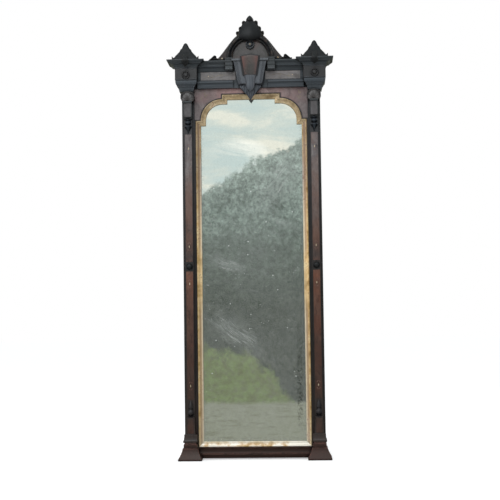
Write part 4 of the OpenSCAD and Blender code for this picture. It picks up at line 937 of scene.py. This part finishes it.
# Finial: a four sided pyramid of leaves under a bud. Its plan goes from square to round with height, each
# face has a broad midrib and faint side veins, and a pointed ear stands up at every corner
finial = {
    "profile": [(0.0, 0.90), (0.10, 0.84), (0.30, 0.64), (0.46, 0.46), (0.52, 0.41), (0.62, 0.36),
                (0.70, 0.26), (0.84, 0.18), (0.93, 0.13), (0.985, 0.06), (1.0, 0.01)],
    "squareness": (9.0, 2.2),                        # power of the plan at the foot and further up
    "ridge": 0.05, "ridgeWidth": 0.22,
    "vein": 0.018, "veins": (7, 1.6),                # with height and away from the middle of a face
    "fadeFoot": 0.1, "fadeTop": 0.3,
    "earHeight": 20, "earWidth": 8, "earIn": 0.93, "earLean": (8, 4),  # across and in depth
}


def makeFinial(name, node, f):
    (x0, x1), (d0, d1), (z0, z1) = span(node)
    middleX, halfX, middleD, halfD = (x0 + x1) / 2, (x1 - x0) / 2, (d0 + d1) / 2, (d1 - d0) / 2
    t = column(0, 1, 90)
    turn = fullTurn(144)
    heights, shares = np.array(f["profile"]).T
    power = blend(*f["squareness"], np.clip(t * 1.2, 0, 1))
    cosine, sine = np.abs(np.cos(turn)), np.abs(np.sin(turn))
    plan = (cosine ** power + sine ** power) ** (-1 / power)
    fromMiddle = np.minimum(cosine, sine) / np.maximum(cosine, sine)
    ridge = f["ridge"] * np.exp(-(fromMiddle / f["ridgeWidth"]) ** 2)
    waves = f["veins"][0] * t + f["veins"][1] * fromMiddle
    vein = f["vein"] * np.cos(2 * math.pi * waves) * np.sin(math.pi * fromMiddle)
    fade = np.clip(t / f["fadeFoot"], 0, 1) * np.clip((1 - t) / f["fadeTop"], 0, 1)
    reach = plan * np.interp(t, heights, shares) * (1 + (ridge + vein) * fade)
    across, depth = middleX + halfX * reach * np.cos(turn), middleD + halfD * reach * np.sin(turn)
    piece = Carving(name)
    piece.addRings(place(across, depth, z0 + (z1 - z0) * t))
    at = column(0, 1, 12)
    ring = fullTurn(12)
    size = f["earWidth"] * (1 - at ** 1.5) + 0.3
    inX, inD = (half * f["earIn"] - f["earWidth"] + lean * at ** 1.5
                for half, lean in zip((halfX, halfD), f["earLean"]))
    for wayX in (-1, 1):
        for wayD in (-1, 1):
            across = middleX + wayX * inX + size * np.cos(ring)
            depth = middleD + wayD * inD + size * np.sin(ring) * 0.7
            piece.addRings(place(across, depth, z0 + f["earHeight"] * at))
    piece.finish("walnutCarved", [node])


for side in sides:
    makeFinial(side + "Finial", side + "_finial", finial)

# Leaf that falls from each finial over the middle of the cap's front
capLeaf = {
    # out from the cap's front and up from its top
    "path": [(-28, 40), (-10, 18), (-1, 3), (0, -12), (-8, -28), (-19, -38)],
    "halfWidth": [8, 13, 16, 17, 14, 3],
    "shape": {**plainLeaf, "arch": 0.08, "rib": 0.05, "ribWidth": 0.14, "thick": 7, "notch": 0.10,
              "lobes": 3},
}


def makeCapLeaf(side, c):
    _, (_, front), (_, top) = span(side + "_cap")
    low, high = span(side + "_finial")[0]
    depth, height = np.array(c["path"], float).T
    piece = Carving(side + "CapLeaf")
    piece.leaf(place((low + high) / 2, front + depth, top + height), sideways, c["halfWidth"], c["shape"])
    piece.finish("walnutCarved")


for side in sides:
    makeCapLeaf(side, capLeaf)

# Cornice scrolls: from the outer end a blade climbs to a high curl, then a long stem runs in to a round
# eye. Points are shares of the length from the keystone out and of the height
corniceScroll = {
    "inner": 141.0,
    "blade": [(1.0, 0.03), (0.88, 0.24), (0.76, 0.48), (0.66, 0.74), (0.60, 0.90), (0.53, 0.82),
              (0.52, 0.66)],
    "bladeWidth": [1.2, 3.2, 5.0, 5.2, 4.2, 3.2, 2.0],
    "stem": [(0.84, 0.20), (0.66, 0.40), (0.48, 0.42), (0.34, 0.24), (0.16, 0.20), (0.04, 0.44),
             (0.12, 0.60)],
    "stemWidth": [2.0, 4.2, 4.6, 4.2, 3.6, 3.0, 1.6],
    "body": [(0, 0.16), (0.1, 0.30), (0.3, 0.30), (0.45, 0.52), (0.58, 0.84), (0.66, 0.84), (0.76, 0.50),
             (0.90, 0.20), (1.0, 0.02)],
    "eye": (0.18, 0.44), "eyeRadius": 4.5,
    "rise": 7, "bodyShare": 0.72,
}


def makeCorniceScrolls(c):
    (_, x1), (d0, d1), (z0, z1) = span("cornice_scrolls")
    seat = blend(d0, d1, c["bodyShare"])
    piece = Carving("corniceScrolls")
    eyes = Carving("scrollEyes")

    def onCornice(points, count, way):
        out, up = smoothPath(points, count).T
        return np.stack([way * (c["inner"] + (x1 - c["inner"]) * out), z0 + (z1 - z0) * up], -1)

    for way in (-1, 1):
        top = onCornice(c["body"], 48, way)
        v = column(0, 1, 5)
        across, height = top[None, :, 0] * np.ones_like(v), z0 + (top[None, :, 1] - z0) * v
        piece.addSlab(across, height, seat, d0)
        for line in ("blade", "stem"):
            half = smoothPath(c[line + "Width"], 60)
            piece.rope(onCornice(c[line], 60, way), half, np.minimum(half * 1.5, c["rise"]), seat - 1)
        across, height = onCornice([c["eye"], c["eye"]], 2, way)[0]
        eyes.bead((across, seat - 1, height), outwards,
                  [(c["eyeRadius"], 0), (c["eyeRadius"], 3), (c["eyeRadius"] * 0.6, 6.5), (0.2, 7.5)])
    piece.finish("walnutCarved", ["cornice_scrolls"])
    eyes.finish("giltWorn")


makeCorniceScrolls(corniceScroll)

# Capitals: a fan of flutes under an arched double rim, on a waved foot. The sides flare from the foot to
# the ears and the top is an arch
capital = {
    "flare": ([0, 0.45, 0.62, 1.0], [0.80, 1.0, 1.0, 0.99]),  # heights and half widths, as shares
    "archFoot": 0.62, "archRise": 0.36,
    "flutes": 7, "fluteDepth": 0.5, "bulge": 8.0, "seat": 0.80,
    "rims": ((1.0, 2.4, 3.2), (0.80, 1.6, 1.6)),     # share of the outline, half width, rise
    "legs": (0.34, 0.45), "spring": 0.56,            # shares of the height
    "foot": 0.10, "footReach": 0.78, "footHalf": 2.4, "footRise": 4.0, "waves": 3, "waveHeight": 5.0,
}


def makeCapital(name, node, c):
    (x0, x1), (d0, d1), (z0, z1) = span(node)
    middle, half, tall = (x0 + x1) / 2, (x1 - x0) / 2, z1 - z0
    seat = blend(d0, d1, c["seat"])
    piece = Carving(name)
    t = column(0, 1, 40)
    u = row(-1, 1, 41)
    arch = c["archFoot"] + c["archRise"] * np.sqrt(np.clip(1 - (u / 0.99) ** 2, 0, 1))
    height = z0 + tall * t * arch
    across = middle + half * np.interp(t, *c["flare"]) * u
    angle = np.arctan2(height - z0 + 2, np.abs(across - middle) + 0.01)
    radial = np.hypot((across - middle) / half, (height - z0) / tall).clip(0, 1)
    flutes = c["fluteDepth"] * np.cos(2 * c["flutes"] * angle) * np.sin(math.pi * radial) ** 0.5
    front = seat + c["bulge"] * np.sin(math.pi * radial) ** 0.8 + flutes
    piece.addSlab(across, height, front, d0)
    sweep = np.linspace(0, math.pi, 50)
    for share, width, rise in c["rims"]:
        reach = half * share - width
        path = np.stack([middle + reach * np.cos(sweep),
                         z0 + c["spring"] * tall + (0.44 * tall * share - width) * np.sin(sweep)], -1)
        legs = np.array([[middle + reach, z0 + at * tall] for at in c["legs"]])
        mirrored = legs[::-1] * [-1, 1] + [2 * middle, 0]
        swell = c["bulge"] * math.sin(math.pi * min(share, 0.97)) ** 0.8
        piece.rope(np.concatenate([legs, path, mirrored]), width, rise, seat + 0.9 * swell)
    wave = np.linspace(-1, 1, 60)
    foot = z0 + tall * c["foot"] + c["waveHeight"] * np.abs(np.cos(math.pi * c["waves"] * (wave + 1) / 2))
    path = np.stack([middle + c["footReach"] * half * wave, foot], -1)
    piece.rope(path, c["footHalf"], c["footRise"], seat + 1)
    piece.finish("walnutCapital", [node])


for side in sides:
    makeCapital(side + "Capital", side + "_capital", capital)

# Keystone ribs: straight fillets that run down both tapered sides
keystoneRibs = {
    # share of the keystone's half width, half width and rise
    "ribs": ((0.955, 2.6, 2.6), (0.865, 1.8, 1.6), (0.790, 2.2, 2.4)),
    "footHalf": 68.0, "topHalf": 97.0, "bodyDepth": 106.0, "topDrop": 13.0,
}


def makeKeystoneRibs(c):
    _, _, (z0, z1) = span("keystone")
    piece = Carving("keystoneRibs")
    v = np.linspace(0.01, 1 - c["topDrop"] / (z1 - z0), 12)
    for share, half, rise in c["ribs"]:
        for way in (-1, 1):
            path = np.stack([way * share * blend(c["footHalf"], c["topHalf"], v), blend(z0, z1, v)], -1)
            piece.rope(path, half, rise, c["bodyDepth"])
    piece.finish("walnutPale")


makeKeystoneRibs(keystoneRibs)

# Shield: a cushioned burl field with a low pediment top, inside a moulded frame on its own ground
shield = {
    "footHalf": 31.0, "topHalf": 48.0, "pediment": 8.0,
    "footDepth": 114.0, "topDepth": 120.0, "backDepth": 106.0,
    "cushion": 1.6, "fieldSunk": 1.5, "frameSunk": 3.5, "groundSunk": 3.2, "groundOut": 9.5,
    "frame": ((2.0, 2.6, 3.4), (7.0, 3.4, 2.2)),     # out from the field, half width, rise
}


def makeShield(c):
    _, _, (z0, z1) = span("shield_panel")

    def face(v):
        return blend(c["footDepth"], c["topDepth"], v)

    def half(v):
        return blend(c["footHalf"], c["topHalf"], v)

    v, u = column(0, 1, 30), row(-1, 1, 31)
    across = half(v) * u
    height = z0 + (z1 - z0 - c["pediment"] * np.abs(u)) * v
    front = face(v) - c["fieldSunk"] + c["cushion"] * (1 - u ** 2) * np.sin(math.pi * v) ** 0.5
    field = Carving("shieldField")
    field.addSlab(across, height, front, c["backDepth"])
    field.finish("burlShield", ["shield_panel"])
    rim = Carving("shieldFrame")
    steps = np.linspace(0, 5 - 1e-9, 121)
    i = steps.astype(int)
    for out, width, rise in c["frame"]:
        foot, top = c["footHalf"] + out, c["topHalf"] + out
        low, shoulder = z0 - 0.3 * out, z1 - c["pediment"] + 0.3 * out
        corners = np.array([(-foot, low), (-top, shoulder), (0.0, z1 + 0.6 * out), (top, shoulder),
                            (foot, low), (-foot, low)])
        path = corners[i] + (corners[i + 1] - corners[i]) * (steps - i)[:, None]
        seat = face((path[:, 1] - z0) / (z1 - z0)) - c["frameSunk"]
        rim.rope(path[:-1], width, rise, seat[:-1], looped=True)
    v, u = column(0, 1, 16), row(-1, 1, 21)
    across = (half(v) + c["groundOut"]) * u
    height = z0 - 2 + (z1 - z0 + 4 - c["pediment"] * np.abs(u)) * v
    rim.addSlab(across, height, face(v) - c["groundSunk"], c["backDepth"])
    rim.finish("walnutBlock")


makeShield(shield)

# Pendant: a pointed board carved as one leaf, under a tongue with a raised rim and a round end. Paths give
# the depth and the height above the keystone's foot
pendant = {
    "leafPath": [(82, 4), (84, -20), (84, -45), (80, -70), (74, -91)],
    "leafHalf": [62, 59, 36, 15, 1],
    "leafShape": {**plainLeaf, "arch": 0.14, "rib": 0.05, "ribWidth": 0.08, "flutes": 4, "flute": 0.035,
                  "lobes": 3, "notch": 0.05, "thick": 20},
    "tonguePath": [(110, 48), (110, 34), (109, 10), (108, -14), (106, -30), (102, -41)],
    "tongueHalf": [35, 30, 25.5, 24.5, 19, 3],
    "tongueShape": {**plainLeaf, "arch": 0.12, "thick": 24},
    "rimIn": 2.5, "rimHalf": 2.0, "rimRise": 2.6,
}


def makePendant(c):
    z0 = span("keystone")[2][0]
    piece = Carving("carvedPendant")
    for kind in ("leaf", "tongue"):
        depth, height = np.array(c[kind + "Path"], float).T
        piece.leaf(place(0.0, depth, z0 + height), sideways, c[kind + "Half"], c[kind + "Shape"], 50, 33)
    half = smoothPath(c["tongueHalf"], 40) - c["rimIn"]
    depth, height = smoothPath(c["tonguePath"], 40)[half > 1].T
    right = np.stack([half[half > 1], z0 + height], -1)
    piece.rope(np.concatenate([right, right[::-1] * [-1, 1]]), c["rimHalf"], c["rimRise"],
               np.concatenate([depth, depth[::-1]]))
    piece.finish("walnutPale", ["pendant"])


makePendant(pendant)

# Fine beads round the arch of the crest
archBeads = {"beads": ((133.0, 2.2), (120.0, 1.5), (106.0, 1.8)), "proud": 1.2}  # radius and half width


def makeArchBeads(c):
    (x0, x1), (_, front), (z0, z1) = span("arch_moulding")
    centre = z1 - (x1 - x0) / 2
    sweep = np.linspace(0, math.pi, 90)
    piece = Carving("archBeads")
    for radius, half in c["beads"]:
        arc = np.stack([radius * np.cos(sweep), centre + radius * np.sin(sweep)], -1)
        legs = np.array([[radius, z0 + 1], [radius, (z0 + centre) / 2]])
        piece.rope(np.concatenate([legs, arc, legs[::-1] * [-1, 1]]), half, half + c["proud"], front - half)
    piece.finish("walnutTurned")


makeArchBeads(archBeads)
print("stage: carved crest, capitals and keystone")

# Turned pieces: a profile of radius and height, both as shares of the piece, is carried round an axis.
# Upright ones are split turnings with their flat against the shaft, the others face the front
turned = {
    "turning": [(0.78, 0), (0.82, 0.03), (0.5, 0.05), (0.62, 0.09), (0.97, 0.19), (1.0, 0.26), (0.93, 0.34),
                (0.66, 0.43), (0.54, 0.475), (0.6, 0.50), (0.74, 0.53), (0.72, 0.62), (0.58, 0.76),
                (0.36, 0.88), (0.14, 0.96), (0.02, 1.0)],
    "drop": [(0.02, 0), (0.14, 0.04), (0.3, 0.18), (0.55, 0.31), (0.92, 0.43), (1.0, 0.48), (0.98, 0.53),
             (0.7, 0.56), (0.42, 0.60), (0.62, 0.64), (0.86, 0.72), (0.86, 0.80), (0.62, 0.90), (0.5, 0.93),
             (0.86, 0.955), (0.86, 1.0)],
    "boss": [(1, 0), (1, 0.25), (0.95, 0.42), (0.86, 0.38), (0.80, 0.30), (0.78, 0.5), (0.66, 0.78),
             (0.42, 0.95), (0.15, 1.0), (0.01, 1.0)],
    "roundel": [(1, 0), (1, 0.4), (0.93, 0.75), (0.82, 0.8), (0.72, 0.5), (0.62, 0.35), (0.5, 0.4),
                (0.44, 0.8), (0.3, 1.0), (0.1, 1.0), (0.01, 1.0)],
    "around": 64,
    "along": 110,
}


def makeTurned(name, node, kind, material, centres=(0.5,)):
    (x0, x1), (d0, d1), (z0, z1) = span(node)
    upright = kind in ("turning", "drop")
    radius = (x1 - x0) / 2 if upright else (z1 - z0) / 2
    share = np.clip(smoothPath(turned[kind], turned["along"]), 0, 1)
    turn = fullTurn(turned["around"])
    piece = Carving(name)
    for centre in centres:
        across = blend(x0 + radius, x1 - radius, centre) + radius * share[:, :1] * np.cos(turn)
        if upright:
            depth = d0 + (d1 - d0) * np.maximum(share[:, :1] * np.sin(turn), -0.02)
            height = z0 + (z1 - z0) * share[:, 1:]
        else:
            depth = d0 + (d1 - d0) * share[:, 1:]
            height = z0 + radius * (1 + share[:, :1] * np.sin(turn))
        piece.addRings(place(across, depth, height))
    piece.finish(material, [node])


for side in sides:
    for kind in ("turning", "drop", "boss"):
        makeTurned(side + kind.capitalize(), side + "_" + kind, kind, "walnutTurned")
makeTurned("cornerRoundels", "corner_roundels", "roundel", "walnutBlock", (0, 1))
makeTurned("crestRoundel", "crest_roundel", "roundel", "walnutPale")
print("stage: turned pieces")

# Gilt marks cut into the shafts: a drop shaped lozenge with a short pair of strokes above and below it
shaftMarks = {
    "heights": (412.0, 988.0, 1199.0, 1762.0),
    "half": 2.9, "up": 8.0, "down": 10.0, "widths": [0.62, 1.0, 1.0, 0.6], "point": 0.3,
    "shape": {**plainLeaf, "arch": 0.22, "thick": 1.2},
    "stroke": 1.1, "strokeOut": 9.0, "strokeNear": 13.0, "strokeFar": 24.0, "rise": 0.9,
}


def makeShaftMarks(m):
    piece = Carving("shaftMarks")
    strokes = Carving("shaftStrokes")
    ends = np.linspace(0, 1, 12)
    half = m["stroke"] * np.sin(math.pi * np.linspace(0.04, 0.96, 12)) + 0.1
    widths = [m["point"], *(share * m["half"] for share in m["widths"]), m["point"]]
    for side in sides:
        (x0, x1), (_, front), _ = span(side + "_shaft_panels")
        middle = (x0 + x1) / 2
        for z in m["heights"]:
            line = np.linspace(z + m["up"], z - m["down"], 6)
            piece.leaf(place(middle, front - 0.2, line), sideways, widths, m["shape"], 24, 13)
            for up in (-1, 1):
                for way in (-1, 1):
                    bow = middle + way * m["strokeOut"] * np.sin(0.5 * math.pi * ends)
                    climb = z + up * blend(m["strokeFar"], m["strokeNear"], ends)
                    strokes.rope(np.stack([bow, climb], -1), half, half * m["rise"], front - 0.1)
    piece.finish("giltWorn")
    strokes.finish("giltBrown")


makeShaftMarks(shaftMarks)

# Sprays cut into the spandrels: each is a root with leaves that run to their tips, given across and up
spray = {
    "sprays": [((-275, 2064), [(-259, 2096), (-240, 2078), (-286, 2040), (-247, 2060)]),
               ((276, 2062), [(272, 2096), (288, 2088), (262, 2044), (280, 2030), (294, 2050)])],
    "half": 3.2, "widths": [0.15, 0.7, 1.0, 0.85, 0.5, 0.05], "bow": 2.2,
    "shape": {**plainLeaf, "arch": 0.16, "rib": 0.1, "ribWidth": 0.18, "thick": 1.0},
}


def makeSprays(s):
    front = span("spandrel_panel")[1][1]
    piece = Carving("spandrelSprays")
    at = np.linspace(0.12, 1, 6)
    for root, tips in s["sprays"]:
        for tip in tips:
            way = np.array(tip, float) - root
            normal = np.array([way[1], -way[0]]) / np.linalg.norm(way)
            line = root + way * at[:, None] + normal * (s["bow"] * np.sin(math.pi * at))[:, None]
            piece.leaf(place(line[:, 0], front - 0.3, line[:, 1]), (normal[0], 0, normal[1]),
                       np.array(s["widths"]) * s["half"], s["shape"], 20, 11)
    piece.finish("giltMuted")


makeSprays(spray)

# Lines cut into the frieze panels: a long double curve with a curl at each end and one bright dot
friezeLines = {
    "inset": 14.0, "swing": 0.26, "half": 0.9, "rise": 0.7,
    "curl": 9.0, "curlTurns": 1.2,
    "curls": ((0.30, 250), (0.70, 70)),              # share of the length and start of the turn
    "dot": 3.0, "dotAt": 0.80,
}


def makeFriezeLines(f):
    (_, high), (_, front), (z0, z1) = span("frieze_panels")
    outer = high - f["inset"]
    inner = span("keystone")[0][1] + f["inset"]
    middle, tall = (z0 + z1) / 2, z1 - z0
    lines = Carving("friezeLines")
    dots = Carving("friezeDots")
    s = np.linspace(0, 1, 90)
    height = middle + f["swing"] * tall * np.sin(2 * math.pi * s) * (0.4 + 0.6 * s)
    half = f["half"] * (0.5 + 0.5 * np.sin(math.pi * s)) + 0.15
    for way in (-1, 1):
        path = np.stack([way * blend(inner, outer, s), height], -1)
        lines.rope(path, half, half * f["rise"], front - 0.1)
        for at, start in f["curls"]:
            curl = spiral((way * blend(inner, outer, at), middle), f["curl"], start, f["curlTurns"] * way)
            lines.rope(curl, f["half"] * np.linspace(0.9, 0.3, len(curl)), f["rise"] * 0.8, front - 0.1)
        dots.bead((way * blend(inner, outer, f["dotAt"]), front, middle), outwards,
                  [(f["dot"], -0.3), (f["dot"], 0.4), (f["dot"] * 0.7, 1.2), (0.1, 1.5)])
    lines.finish("giltMuted")
    dots.finish("giltWorn")


makeFriezeLines(friezeLines)

# Facings on the cornice's taller blocks: the mouldings of the cornice carried across them as low steps
breaks = {
    "outer": 141.5, "inner": 99.5, "front": 100.5, "proud": 5.5,
    "steps": [(0.0, 0.0), (0.06, 0.3), (0.10, 0.3), (0.14, 0.1), (0.34, 0.1), (0.40, 0.45), (0.62, 0.5),
              (0.68, 0.85), (0.80, 0.9), (0.84, 0.6), (0.90, 1.0), (1.0, 1.0)],
}


def makeCorniceBreaks(b):
    _, _, (z0, z1) = span("cornice")
    piece = Carving("corniceBreaks")
    v = column(0, 1, 70)
    heights, shares = np.array(b["steps"]).T
    depth = b["front"] + b["proud"] * np.interp(v, heights, shares)
    for way in (-1, 1):
        across = way * blend(b["inner"], b["outer"], row(0, 1, 9))
        height = blend(z0, z1, v) * np.ones_like(across)
        piece.addSlab(across, height, depth, b["front"] - 2)
    piece.finish("walnutBreak", angle=30)


makeCorniceBreaks(breaks)

# Fillets along the blocks' edges and a pin in the crest roundel
trim = {"filletIn": 3.5, "filletHalf": 1.6, "filletRise": 1.3, "pin": 4.0, "pinRise": 4.0}


def makeTrim(c):
    fillets = Carving("blockFillets")
    for side in sides:
        (x0, x1), (_, front), (z0, z1) = span(side + "_block")
        for z in (z0 + c["filletIn"], z1 - c["filletIn"]):
            line = np.stack([np.linspace(x0 + 1, x1 - 1, 12), np.full(12, z)], -1)
            fillets.rope(line, c["filletHalf"], c["filletRise"], front)
    fillets.finish("walnutPale")
    (x0, x1), (_, front), (z0, z1) = span("crest_roundel")
    pin, rise = c["pin"], c["pinRise"]
    piece = Carving("crestPin")
    piece.bead(((x0 + x1) / 2, front, (z0 + z1) / 2), outwards,
               [(pin, -1), (pin, rise * 0.4), (pin * 0.7, rise * 0.85), (0.1, rise)])
    piece.finish("giltWorn")


makeTrim(trim)
print("stage: gilt marks, sprays and trim")
